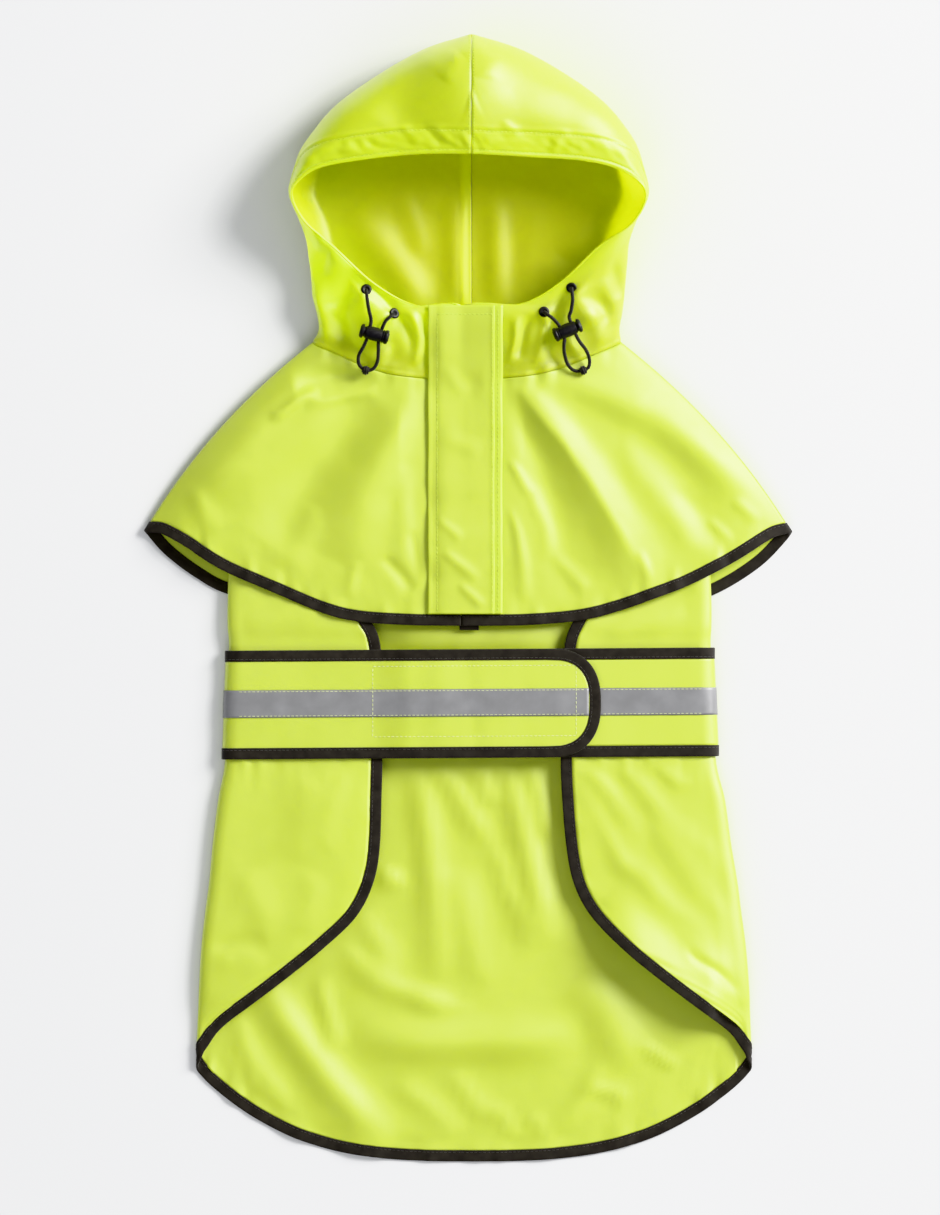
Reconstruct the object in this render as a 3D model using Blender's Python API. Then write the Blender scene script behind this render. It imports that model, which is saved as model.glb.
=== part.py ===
"""Dog raincoat laid out flat on its back, belly side up.

X runs across the coat, Y from the tail hem to the peak of the hood, Z up from the floor.
All tables and constants are in millimetres, with X from the hood's middle seam; to_frame turns
them into metres about the middle of the coat's box.
"""
import math
from collections import namedtuple

import bmesh
import bpy
from mathutils import Matrix, Vector
from mathutils.bvhtree import BVHTree

MM = 0.001
BOX_MIDDLE = Vector((-2.5, 0.6, 0))       # middle of the coat's box, in the tables' own places

# Cloth and trims
CLOTH = 1.2               # laminated rain cloth, with its turned seams
BINDING = 2.0             # bias binding folded round an edge
BINDING_WIDTH = 8.0
TAPE = 1.0                # reflective tape
GAP = 0.3                 # between sewn pieces
EDGE_GAP = 0.4            # between a cloth's edge and its binding
FOLD_GAP = 1.0            # added where a binding rounds a fold
NECK_GAP = 0.6            # between hood and cape
FLOOR = CLOTH / 2         # middle of a cloth that lies on the floor
HEM_FLOOR = BINDING / 2   # middle of a hem whose binding lies on the floor
ON_CAPE = 2.3             # lift of the body where it lies on the back of the cape

# Points in a cross-section
TOP_STEPS = 16            # hood and cape, from the front edge to the outline
UNDER_STEPS = 10          # hood and cape, from the outline to the middle of the back
CAPE_ROWS = 10
FLAP_STEPS = 8
BACK_STEPS = 11
WING_STEPS = 10           # belly band, from the flap's free edge to the wing's end
PLACKET_ROWS, PLACKET_STEPS = 16, 6
SPAN_STEPS = 14           # smooth curves, in each span between two table points

# Front opening, placket and belly band
SLIT_X = -7.5
PLACKET_LEFT, PLACKET_RIGHT = -32.0, 17.0
UNDERLAP_LEFT, UNDERLAP_RIGHT = -14.0, 23.0
PLACKET_TOP, PLACKET_BOTTOM = 217.0, -10.7
RIM_Z = 25.0
CAPE_HEM_Z = 13.5
BAND_TOP, BAND_BOTTOM = -45.8, -110.3
BAND_RISE = 2.4           # the band's right end lies this much further up the coat
HALF_GIRTH = 180.0        # of the coat laid flat, at the band
CLIMB_START, CLIMB_LENGTH = -72.0, 28.0   # where the left wing climbs on to the right wing
TAPE_TOP, TAPE_BOTTOM = -67.3, -87.5
LAYER_1 = BINDING + GAP                                       # band on flap, middle to middle
TAPE_LIFT = CLOTH / 2 + GAP + TAPE / 2
LAYER_2 = LAYER_1 + TAPE_LIFT + TAPE / 2 + GAP + BINDING / 2   # left wing over right wing
LEFT_WING_END, RIGHT_WING_END = 87.7, -40.0
WING_ROUND = 30.0         # length of the left wing's rounded end

# Hood drawstring
CORD = 2.7
EYELET_RADIUS, EYELET_WIRE = 3.3, 0.7
LOCK_LENGTH, LOCK_RADIUS, LOCK_WAIST, LOCK_FLANGE = 22.0, 5.2, 4.3, 3.0
LOCK_HOLE, LOCK_PITCH = 4.0, 9.0
KNOT_RADIUS, KNOT_HOLE, KNOT_HALF = 3.6, 2.5, 1.5

# Hood: one row for each line from the opening's edge, over the outline, to the back centre seam
HoodRow = namedtuple("HoodRow", "edge_z side_z back_y l_edge_x l_edge_y l_side_x l_side_y "
                     "r_edge_x r_edge_y r_side_x r_side_y sag")
HOOD_ROWS = [
    HoodRow(17, 9, 205, SLIT_X, 161, -117, 190, SLIT_X, 161, 110, 190, 9),
    HoodRow(21, 11, 214, SLIT_X, 188, -112, 200, SLIT_X, 188, 109, 200, 9),
    HoodRow(25, 13, 226, SLIT_X, 217, -113, 212, SLIT_X, 217, 111, 212, 9),
    HoodRow(26, 16, 240, -40, 217, -117, 228, 35, 218, 113, 228, 4),
    HoodRow(30, 19, 256, -71, 233, -119, 246, 65, 234, 114.5, 247, 0),
    HoodRow(38, 22, 274, -102, 261, -121, 266, 93, 260, 116, 265, 0),
    HoodRow(43, 24, 289, -122, 277, -126.5, 282, 116.5, 275, 121.5, 281, 0),
    HoodRow(47, 26, 304, -132, 295, -133.5, 299, 128, 293, 129.5, 298, 0),
    HoodRow(50, 27, 320, -129, 306, -131, 313, 124.5, 306, 127, 315, 0),
    HoodRow(54, 28, 338, -112, 317, -122.5, 336, 106, 317, 118, 341, 0),
    HoodRow(58, 28, 360, -80, 323, -94, 369, 80, 322.5, 92, 371, 0),
    HoodRow(60, 28, 386, -40, 327, -41, 402.5, 42, 325, 43, 402, 0),
    HoodRow(61, 28, 404, 0, 327.5, 0, 416.5, 0, 327.5, 0, 416.5, 0),
]
PUFF = 3.0                # rise of the hood between its edge and its outline
FULL_REACH = 40.0         # lines shorter than this rise less
SHOULDER = 0.86           # place along a line of the shoulder that turns down to the outline
HEEL_IN, FLAT_IN = 13.0, 34.0   # how far in from the outline the cloth nears and meets the floor

# Cape hem, at the cloth's edge: one row for each point from the front middle to the back middle
HemRow = namedtuple("HemRow", "l_x l_y r_x r_y z")
CAPE_FRONT_HEM = [
    HemRow(SLIT_X, -11.5, SLIT_X, -11.5, CAPE_HEM_Z),
    HemRow(-45, -11, 40, -11, CAPE_HEM_Z),
    HemRow(-82, -8.5, 80, -7.5, CAPE_HEM_Z),
    HemRow(-107, -2.6, 107, -0.8, CAPE_HEM_Z),
    HemRow(-141, 11.5, 132, 8, CAPE_HEM_Z),
    HemRow(-182, 29.5, 158, 18, 13.4),
    HemRow(-209, 47, 191, 35, 12),
    HemRow(-226, 56, 218, 52, 8.5),
    HemRow(-237, 58, 232, 57, 5),
]
CAPE_BACK_HEM = [
    HemRow(-237, 58, 232, 57, 5),
    HemRow(-232, 51, 227, 49, 2.2),
    HemRow(-220, 38, 207.5, 29.6, HEM_FLOOR),
    HemRow(-199, 22.5, 176, 10.8, HEM_FLOOR),
    HemRow(-176, 11, 140, 0.5, HEM_FLOOR),
    HemRow(-120, -3, 100, -6, HEM_FLOOR),
    HemRow(-60, -9, 50, -10, HEM_FLOOR),
    HemRow(0, -10.7, 0, -10.7, HEM_FLOOR),
]
CAPE_BULGE = 7.0          # outline of the cape stands this far outside a straight line
PLACKET_CLEAR, PLACKET_FADE = 24.0, 22.0   # the cape's folds start beside the placket

# Body: one row for each section, from the neck to the tail hem
BodyRow = namedtuple("BodyRow", "mid_y side_y l_side_x l_flap_x l_flap_y r_side_x r_flap_x r_flap_y "
                     "lift under")
BODY_ROWS = [
    BodyRow(196, 186, -92, -92, 186, 88, 88, 186, 0, 1.9),
    BodyRow(150, 148, -119, -119, 148, 114, 114, 148, 0, 1.9),
    BodyRow(112, 110, -146, -146, 110, 140, 140, 110, 0, 1.9),
    BodyRow(82, 78, -168, -161, 71, 164, 157, 71, 4.5, 1.9),
    BodyRow(56, 50, -176, -143, 55, 173, 140, 55, 6, 1.9),
    BodyRow(30, 24, -179, -117, 32, 176, 115, 32, 7, ON_CAPE),
    BodyRow(0, -2, -180, -94, -2, 177, 93, -2, 7.5, ON_CAPE),
    BodyRow(-20, -20, -180, -81, -20, 177, 82, -20, 8, ON_CAPE),
    BodyRow(-36, -36, -179, -75, -36, 176.5, 76.5, -36, 9, 0.2),
    BodyRow(-78, -78, -180.5, -73.8, -78, 178.5, 73.8, -78, 9.5, 0),
    BodyRow(-120, -120, -182, -73.8, -120, 180.5, 73.8, -120, 9.5, 0),
    BodyRow(-150, -148, -187, -74.5, -148, 187, 75, -148, 10, 0),
    BodyRow(-184, -180, -191, -76, -180, 191.5, 78, -182, 10, 0),
    BodyRow(-218, -207, -193.5, -81, -205, 196, 84, -207, 10, 0),
    BodyRow(-250, -230, -196.5, -92, -229, 199, 96, -230, 10, 0),
    BodyRow(-284, -252, -199, -114, -249, 202, 118, -253, 10, 0),
    BodyRow(-318, -273, -200.5, -140, -267, 204, 144, -272, 10, 0),
    BodyRow(-348, -291, -201.2, -166, -282, 205.2, 169, -289, 9, 0),
    BodyRow(-374, -301, -201.3, -184, -295, 205.3, 188, -301, 7, 0.2),
    BodyRow(-393, -311, -201.2, -194, -304, 205, 198, -310, 5.5, 0.4),
    BodyRow(-407.6, -327, -200, -196.8, -327, 203.6, 200.4, -327, 4, 0.4),
]
FIRST_FLAP_ROW = 3
ROW_POWER = 3.0           # roundness of a section's line across the back
HEM_POWER = 4.0           # the same for the tail hem
FOLD_REACH = 9.0          # how far the side fold's curve reaches in from the outline
FOLD_OUT = 0.4            # sideways lean of the binding where it rounds the side fold

# Large soft folds: a line in plan, the half-width, and the height (a trough is negative)
Fold = namedtuple("Fold", "x0 y0 x1 y1 width height")
CAPE_FOLDS = [
    Fold(28, 150, 98, -5, 15, -4.0),
    Fold(60, 150, 160, 12, 22, 4.5),
    Fold(-95, 172, -134, 150, 12, -3.0),
    Fold(-80, 130, -105, 20, 20, 3.5),
    Fold(-52, 140, -62, 0, 14, -2.5),
    Fold(120, 150, 205, 60, 14, -2.5),
]
HOOD_FOLDS = [
    Fold(-78, 228, -98, 205, 9, 3.5),
    Fold(-57, 211, -62, 172, 9, -2.5),
    Fold(74, 229, 92, 203, 9, 3.5),
    Fold(54, 211, 58, 172, 9, -2.5),
    Fold(-60, 345, -66, 372, 13, 4.0),
    Fold(-26, 345, -24, 388, 10, -3.0),
    Fold(30, 345, 33, 385, 12, 4.0),
    Fold(70, 340, 82, 366, 12, -3.0),
]
BACK_FOLDS = [
    Fold(-30, -150, -36, -245, 13, 5.0),
    Fold(26, -150, 34, -230, 14, 4.5),
    Fold(-150, -322, -92, -385, 15, 6.0),
    Fold(-40, -345, 90, -338, 13, 5.0),
    Fold(120, -318, 168, -345, 15, 5.0),
]

# Drawstring routes, chosen by hand: eyelet, cord lock, loop, cord lock, eyelet
CORD_ROUTES = {
    "left": [(-77.6, 228.6, 33.8), (-77.2, 224.9, 35.4), (-76.6, 219.5, 35.0), (-75.4, 212.5, 33.2),
             (-74.1, 206.5, 31.6), (-74.6, 201.9, 31.0), (-75.9, 196.9, 31.0), (-77.3, 191.8, 31.0),
             (-79.8, 186.2, 29.4), (-83.2, 179.8, 26.0), (-82.9, 173.4, 24.0), (-78.1, 169.1, 23.6),
             (-72.4, 170.4, 23.6), (-69.4, 175.8, 24.8), (-68.7, 183.0, 28.8), (-68.6, 189.5, 31.0),
             (-67.2, 194.5, 31.0), (-65.9, 199.6, 31.0), (-63.4, 205.0, 32.2), (-60.2, 208.2, 32.9),
             (-57.1, 211.0, 31.4)],
    "right": [(73.8, 229.9, 34.0), (74.1, 226.2, 35.6), (74.5, 220.5, 35.3), (73.4, 213.0, 33.8),
              (72.0, 208.6, 32.3), (72.9, 205.0, 31.8), (74.9, 200.2, 31.8), (76.8, 195.4, 31.8),
              (79.8, 190.0, 30.2), (84.4, 184.0, 26.6), (87.0, 177.4, 23.4), (86.4, 171.6, 22.4),
              (82.5, 169.1, 22.4), (76.2, 168.8, 22.4), (71.2, 173.2, 23.2), (68.6, 181.0, 27.2),
              (68.1, 187.6, 31.0), (68.5, 192.0, 31.8), (66.5, 196.8, 31.8), (64.6, 201.6, 31.8),
              (60.9, 206.2, 32.8), (56.7, 209.5, 33.3), (53.4, 212.1, 31.8)],
}
EYELETS = [("eyelet_1", -77.6, 228.5), ("eyelet_2", -57.1, 211.0),
           ("eyelet_3", 53.4, 212.1), ("eyelet_4", 73.8, 229.9)]
LOCKS = {"left": (-71.6, 195.7, 31.0, -15.0), "right": (70.7, 198.5, 31.8, 22.0)}
KNOT_AT = {"left": 11, "right": 12}        # route point that each knot sits on

COLOURS = {"cloth": (0.66, 0.83, 0.10), "binding": (0.028, 0.024, 0.020),
           "reflective": (0.30, 0.30, 0.31), "plastic": (0.020, 0.018, 0.020),
           "cord": (0.024, 0.020, 0.022)}
ROUGHNESS = {"cloth": 0.62, "binding": 0.80, "reflective": 0.45, "plastic": 0.42, "cord": 0.75}


# ---------------------------------------------------------------- curves and grids

def catmull(points, steps):
    """Smooth curve through the points, with the given number of steps in each span."""
    ends = [points[0] * 2 - points[1]] + points + [points[-1] * 2 - points[-2]]
    curve = []
    for before, start, end, after in zip(ends, ends[1:], ends[2:], ends[3:]):
        for step in range(steps):
            t = step / steps
            curve.append(0.5 * (start * 2 + (end - before) * t
                                + (before * 2 - start * 5 + end * 4 - after) * t ** 2
                                + (start * 3 - before - end * 3 + after) * t ** 3))
    curve.append(points[-1].copy())
    return curve


def resample(curve, fractions):
    """Points at the given fractions of the curve's length."""
    lengths = [0.0]
    for start, end in zip(curve, curve[1:]):
        lengths.append(lengths[-1] + (end - start).length)
    samples = []
    for fraction in fractions:
        target = fraction * lengths[-1]
        index = max(i for i, length in enumerate(lengths) if length <= target + 1e-9)
        index = min(index, len(curve) - 2)
        span = lengths[index + 1] - lengths[index]
        share = (target - lengths[index]) / span if span else 0.0
        samples.append(curve[index].lerp(curve[index + 1], min(share, 1.0)))
    return samples


def closer_at_end(steps, power=1.5):
    """Fractions 0 to 1 whose spacing shrinks towards 1."""
    return [1 - (1 - i / steps) ** power for i in range(steps + 1)]


def closer_at_start(steps, power=1.5):
    """Fractions 0 to 1 whose spacing grows from 0."""
    return [(i / steps) ** power for i in range(steps + 1)]


def fold_height(folds, point):
    """Height that the soft folds add at a point in plan; each fades out at its two ends."""
    total = 0.0
    for fold in folds:
        start = Vector((fold.x0, fold.y0))
        line = Vector((fold.x1, fold.y1)) - start
        offset = Vector((point.x, point.y)) - start
        along = offset.dot(line) / line.length_squared
        across = abs(offset.x * line.y - offset.y * line.x) / line.length
        fade = math.sin(math.pi * min(1.0, max(0.0, along)))
        total += fold.height * fade * math.exp(-(across / fold.width) ** 2)
    return total


def grid_normals(rows):
    """Unit normal of a grid of points at each point."""
    last_row = len(rows) - 1
    last_column = len(rows[0]) - 1
    normals = []
    for i, row in enumerate(rows):
        line = []
        for j in range(len(row)):
            along = row[min(j + 1, last_column)] - row[max(j - 1, 0)]
            across = rows[min(i + 1, last_row)][j] - rows[max(i - 1, 0)][j]
            line.append(along.cross(across).normalized())
        normals.append(line)
    return normals


def seam_normals(row, square_to):
    """Normals of a row of points, square to a direction, for pieces that meet there."""
    last = len(row) - 1
    return [(row[min(j + 1, last)] - row[max(j - 1, 0)]).cross(square_to).normalized()
            for j in range(len(row))]


# ---------------------------------------------------------------- solids

def add_object(name, mesh, slot):
    """Object with its own material of the named slot."""
    material = bpy.data.materials.new(name + "_" + slot)
    material.use_nodes = True
    shader = material.node_tree.nodes["Principled BSDF"]
    shader.inputs["Base Color"].default_value = (*COLOURS[slot], 1)
    shader.inputs["Roughness"].default_value = ROUGHNESS[slot]
    material.diffuse_color = (*COLOURS[slot], 1)
    mesh.materials.append(material)
    piece = bpy.data.objects.new(name, mesh)
    bpy.context.scene.collection.objects.link(piece)
    return piece


def to_frame(point):
    """Place in the coat's frame, in metres, of a point of the tables."""
    return (point - BOX_MIDDLE) * MM


def finish_mesh(name, solid, slot):
    """Turns a bmesh in millimetres into an object in metres."""
    for vertex in solid.verts:
        vertex.co = to_frame(vertex.co)
    bmesh.ops.recalc_face_normals(solid, faces=solid.faces)
    mesh = bpy.data.meshes.new(name)
    solid.to_mesh(mesh)
    solid.free()
    mesh.shade_smooth()
    mesh.set_sharp_from_angle(angle=math.radians(40))
    return add_object(name, mesh, slot)


def wall(name, rows, thickness, slot, normals=None):
    """Closed wall of even thickness about a grid of middle points."""
    normals = normals or grid_normals(rows)
    solid = bmesh.new()
    layers = []
    for side in (0.5, -0.5):
        layers.append([[solid.verts.new(point + normal * (side * thickness))
                        for point, normal in zip(row, line)] for row, line in zip(rows, normals)])
    upper, lower = layers
    last_row = len(rows) - 1
    last_column = len(rows[0]) - 1
    for i in range(last_row):
        for j in range(last_column):
            solid.faces.new((upper[i][j], upper[i][j + 1], upper[i + 1][j + 1], upper[i + 1][j]))
            solid.faces.new((lower[i][j], lower[i + 1][j], lower[i + 1][j + 1], lower[i][j + 1]))
    rim = [(0, j) for j in range(last_column)]
    rim += [(i, last_column) for i in range(last_row)]
    rim += [(last_row, j) for j in range(last_column, 0, -1)]
    rim += [(i, 0) for i in range(last_row, 0, -1)]
    for (i, j), (k, m) in zip(rim, rim[1:] + rim[:1]):
        solid.faces.new((upper[i][j], lower[i][j], lower[k][m], upper[k][m]))
    return finish_mesh(name, solid, slot)


def lathe(name, profile, slot, sides, centre, axis):
    """Ring turned from a closed profile of (radius, height) about an axis through the centre."""
    turn = Vector((0, 0, 1)).rotation_difference(axis).to_matrix()
    solid = bmesh.new()
    rings = []
    for side in range(sides):
        angle = 2 * math.pi * side / sides
        ring = [Vector((r * math.cos(angle), r * math.sin(angle), h)) for r, h in profile]
        rings.append([solid.verts.new(turn @ point + centre) for point in ring])
    for ring, following in zip(rings, rings[1:] + rings[:1]):
        for k in range(len(profile)):
            m = (k + 1) % len(profile)
            solid.faces.new((ring[k], following[k], following[m], ring[m]))
    return finish_mesh(name, solid, slot)


def outward_run(points, inside):
    """Plan directions square to a run of edge points, away from the point inside the cloth."""
    last = len(points) - 1
    directions = []
    for i in range(len(points)):
        along = (points[min(i + 1, last)] - points[max(i - 1, 0)]).xy
        directions.append(Vector((along.y, -along.x, 0)).normalized())
    middle = len(points) // 2
    if directions[middle].dot(points[middle] - inside) < 0:
        directions = [-direction for direction in directions]
    return directions


def edge_strip(name, stations, thickness, slot):
    """Binding beyond a cloth's edge; a station is (edge point, outward vector, normal)."""
    near = [point + outward.normalized() * EDGE_GAP for point, outward, normal in stations]
    far = [point + outward.normalized() * EDGE_GAP + outward * BINDING_WIDTH
           for point, outward, normal in stations]
    normals = [normal for point, outward, normal in stations]
    return wall(name, [near, far], thickness, slot, [normals, normals])


def fold_normals(points, side):
    """Level normals, facing away from the coat, along the outline of a folded layer."""
    last = len(points) - 1
    normals = []
    for i in range(len(points)):
        along = points[min(i + 1, last)] - points[max(i - 1, 0)]
        normal = Vector((along.y, -along.x, 0)).normalized()
        normals.append(normal if normal.x * side > 0 else -normal)
    return normals


def surface_tree(rows):
    """Search tree of a grid's middle surface."""
    columns = len(rows[0])
    points = [point for row in rows for point in row]
    faces = [(i * columns + j, i * columns + j + 1, (i + 1) * columns + j + 1, (i + 1) * columns + j)
             for i in range(len(rows) - 1) for j in range(columns - 1)]
    return BVHTree.FromPolygons(points, faces)


def top_at(trees, x, y):
    """Highest point and upward normal of the surfaces at a place in plan."""
    best = None
    for tree in trees:
        place, normal, _, _ = tree.ray_cast(Vector((x, y, 200)), Vector((0, 0, -1)))
        if place and (best is None or place.z > best[0].z):
            best = (place, normal if normal.z > 0 else -normal)
    return best


def height_near(trees, x, y):
    """Greatest height of the surfaces within 1.5 mm of a place, so that seams don't count."""
    probes = [top_at(trees, x + shift_x, y + shift_y)
              for shift_x in (-1.5, 1.5) for shift_y in (-1.5, 1.5)]
    return max(place.z for place, normal in filter(None, probes))


# ---------------------------------------------------------------- hood

def hood_line(row, side):
    """One line of a hood panel: opening edge to outline, then under to the back seam."""
    if side < 0:
        edge = Vector((row.l_edge_x, row.l_edge_y, row.edge_z))
        outline = Vector((row.l_side_x, row.l_side_y, row.side_z))
    else:
        edge = Vector((row.r_edge_x, row.r_edge_y, row.edge_z))
        outline = Vector((row.r_side_x, row.r_side_y, row.side_z))
    back = Vector((0, row.back_y, FLOOR))
    fullness = min(1.0, (outline - edge).xy.length / FULL_REACH)
    rise = row.edge_z - row.side_z
    middle = edge.lerp(outline, 0.5)
    middle.z = row.side_z + rise * (0.8 + 0.2 * fullness) + PUFF * fullness
    middle.y -= row.sag
    shoulder = edge.lerp(outline, SHOULDER)
    shoulder.z = row.side_z + rise * (0.45 + 0.3 * fullness)
    shoulder.y -= row.sag * 0.45
    inward = (back - outline).xy.to_3d()
    reach = inward.length
    inward.normalize()
    heel = outline + inward * min(HEEL_IN, 0.45 * reach)
    heel.z = FLOOR + 0.12 * (row.side_z - FLOOR)
    flat = outline + inward * min(FLAT_IN, 0.75 * reach)
    flat.z = FLOOR
    curve = catmull([edge, middle, shoulder, outline, heel, flat, back], SPAN_STEPS)
    for point in curve:
        point.z = max(point.z, FLOOR)
    at_outline = 3 * SPAN_STEPS
    top = resample(curve[:at_outline + 1], closer_at_end(TOP_STEPS, 1.2))
    under = resample(curve[at_outline:], closer_at_start(UNDER_STEPS))
    return top, under


def hood_grid(side):
    """Grid of a hood panel, each row from the opening's edge to the back seam."""
    rows = []
    for row in HOOD_ROWS:
        top, under = hood_line(row, side)
        line = top + under[1:]
        for j, point in enumerate(line):
            seam_x = SLIT_X if row.edge_z <= RIM_Z and j == 0 else 0
            if j <= TOP_STEPS:
                point.z += fold_height(HOOD_FOLDS, point)
            if side * (point.x - seam_x) < GAP / 2:
                point.x = seam_x + side * GAP / 2
        rows.append(line)
    return rows


def build_hood():
    """Both hood panels; returns their grids."""
    grids = {}
    for side, name in ((-1, "hood_left"), (1, "hood_right")):
        rows = hood_grid(side)
        normals = grid_normals(rows)
        for end, near, square_to in ((0, 1, Vector((0, 1, 0))), (-1, -2, Vector((1, 0, 0)))):
            normals[end] = seam_normals(rows[end], square_to)
            if normals[end][5].dot(normals[near][5]) < 0:
                normals[end] = [-normal for normal in normals[end]]
        wall(name, rows, CLOTH, "cloth", normals)
        grids[side] = rows
    return grids


# ---------------------------------------------------------------- cape

def hem_curve(rows, side):
    """Cloth edge of the cape's hem along a table."""
    if side < 0:
        return catmull([Vector((row.l_x, row.l_y, row.z)) for row in rows], SPAN_STEPS)
    return catmull([Vector((row.r_x, row.r_y, row.z)) for row in rows], SPAN_STEPS)


def cape_columns(neck, hem, side):
    """Rows of a cape panel between its neck points and its hem points."""
    rows = []
    for i in range(CAPE_ROWS):
        share = i / (CAPE_ROWS - 1)
        row = []
        for top, bottom in zip(neck, hem):
            point = (top + Vector((0, -NECK_GAP, 0))).lerp(bottom, share)
            sideways = min(1.0, abs(top.x) / 110) ** 2 * side
            point += Vector((sideways, 0.6 * abs(sideways), 0)) * (CAPE_BULGE * 4 * share * (1 - share))
            row.append(point)
        rows.append(row)
    return rows


def build_cape(hood):
    """Two fronts and a back, joined by the binding round the hem; returns the front grids."""
    fronts, halves = {}, {}
    for side in (-1, 1):
        neck = hood[side][0]
        front_hem = resample(hem_curve(CAPE_FRONT_HEM, side), closer_at_end(TOP_STEPS, 1.2))
        back_hem = resample(hem_curve(CAPE_BACK_HEM, side), closer_at_start(UNDER_STEPS))
        for point in back_hem:
            point.z = max(point.z, HEM_FLOOR)
        front = cape_columns(neck[:TOP_STEPS + 1], front_hem, side)
        for row in front:
            row[0].x = SLIT_X + side * GAP / 2
            for point in row:
                beside = abs(point.x - SLIT_X) - PLACKET_CLEAR
                clear = min(1.0, max(0.0, beside / PLACKET_FADE))
                point.z += clear * fold_height(CAPE_FOLDS, point)
        fronts[side] = front
        halves[side] = cape_columns(neck[TOP_STEPS:], back_hem, side)
    back = [left + right[::-1][1:] for left, right in zip(halves[-1], halves[1])]
    for row in back:
        for point in row:
            point.z = max(point.z, FLOOR)
    outlines = {side: fold_normals([row[-1] for row in fronts[side]], side) for side in (-1, 1)}
    necks = {side: seam_normals(hood[side][0], Vector((0, 1, 0))) for side in (-1, 1)}
    for side, neck in necks.items():
        if neck[TOP_STEPS].x * side < 0:
            necks[side] = [-normal for normal in neck]
        outlines[side][0] = necks[side][TOP_STEPS]
    back_normals = outer_normals(back, -1)
    back_normals[0] = necks[-1][TOP_STEPS:] + necks[1][TOP_STEPS:][::-1][1:]
    for i, row in enumerate(back):
        for end, side in ((0, -1), (-1, 1)):
            row[end].z -= GAP / 2
            back_normals[i][end] = outlines[side][i]
    wall("cape_back", back, CLOTH, "cloth", back_normals)
    stations = {}
    for side, name in ((-1, "cape_left"), (1, "cape_right")):
        rows = fronts[side]
        normals = outer_normals(rows, 1)
        normals[0] = necks[side][:TOP_STEPS + 1]
        for i, row in enumerate(rows):
            row[-1].z += GAP / 2
            normals[i][-1] = outlines[side][i]
        wall(name, rows, CLOTH, "cloth", normals)
        outward = outward_run(rows[-1], rows[-2][len(rows[-1]) // 2])
        tip = rows[-1][-1] - rows[-2][-1]
        outward[-1] = Vector((tip.x, tip.y, 0)).normalized()
        edge = rows[-1][:-1] + [rows[-1][-1] + outward[-1] * FOLD_GAP]
        stations[side] = list(zip(edge, outward, normals[-1]))
    outward = outward_run(back[-1], back[-2][len(back[-1]) // 2])
    for near, end in ((1, 0), (-2, -1), (2, 0), (-3, -1)):
        tip = back[-1][end] - back[-2][end]
        outward[near] = (outward[near] + Vector((tip.x, tip.y, 0)).normalized()).normalized()
    under = list(zip(back[-1], outward, back_normals[-1]))[1:-1]
    edge_strip("cape_binding", stations[-1] + under + stations[1][::-1], BINDING, "binding")
    return fronts


def outer_normals(rows, way):
    """Grid normals turned to the outside: up (way 1) or down (way -1)."""
    normals = grid_normals(rows)
    if normals[-1][len(rows[0]) // 2].z * way < 0:
        normals = [[-normal for normal in line] for line in normals]
    return normals


# ---------------------------------------------------------------- body

def body_half(row, side):
    """Half a section: flap from its free edge to the side fold, then the back to the middle."""
    outline_x = row.l_side_x if side < 0 else row.r_side_x
    flap = Vector((row.l_flap_x, row.l_flap_y)) if side < 0 else Vector((row.r_flap_x, row.r_flap_y))
    outline = Vector((outline_x, row.side_y))
    floor = FLOOR + row.under
    reach = (flap - outline).length
    bend = min(FOLD_REACH, max(reach / 2, 1.0))

    def fold_share(distance):
        return 1 - math.sqrt(max(0.0, 1 - (max(0.0, 1 - distance / bend)) ** 2))

    top = []
    for j in range(FLAP_STEPS + 1):
        share = (1 - j / FLAP_STEPS) ** 2.2
        place = outline.lerp(flap, share)
        height = floor + row.lift * (1 - 0.5 * fold_share(share * reach))
        top.append(Vector((place.x, place.y, height)))
    under = []
    for j in range(BACK_STEPS + 1):
        across = math.cos(0.5 * math.pi * j / BACK_STEPS)
        power = HEM_POWER if row is BODY_ROWS[-1] else ROW_POWER
        y = row.mid_y + (row.side_y - row.mid_y) * across ** power
        distance = abs(outline_x) * (1 - across)
        height = floor + row.lift * 0.5 * fold_share(distance)
        under.append(Vector((outline_x * across, y, height)))
    return top, under


def round_normal(height, level):
    """Normal on a rounded fold; height is 1 on top, 0 at the outline and -1 underneath."""
    return level * math.sqrt(1 - height ** 2) + Vector((0, 0, height))


def round_the_fold(row, normals, free_out, fold_out):
    """Binding stations along a flap's end row, from its free edge round to the outline."""
    last = len(row) - 1
    mitre = (free_out + Vector((0, -1, 0))).normalized()
    return [(point, mitre.lerp(fold_out, 1 - (1 - j / last) ** 3), normal)
            for j, (point, normal) in enumerate(zip(row, normals))]


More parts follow.
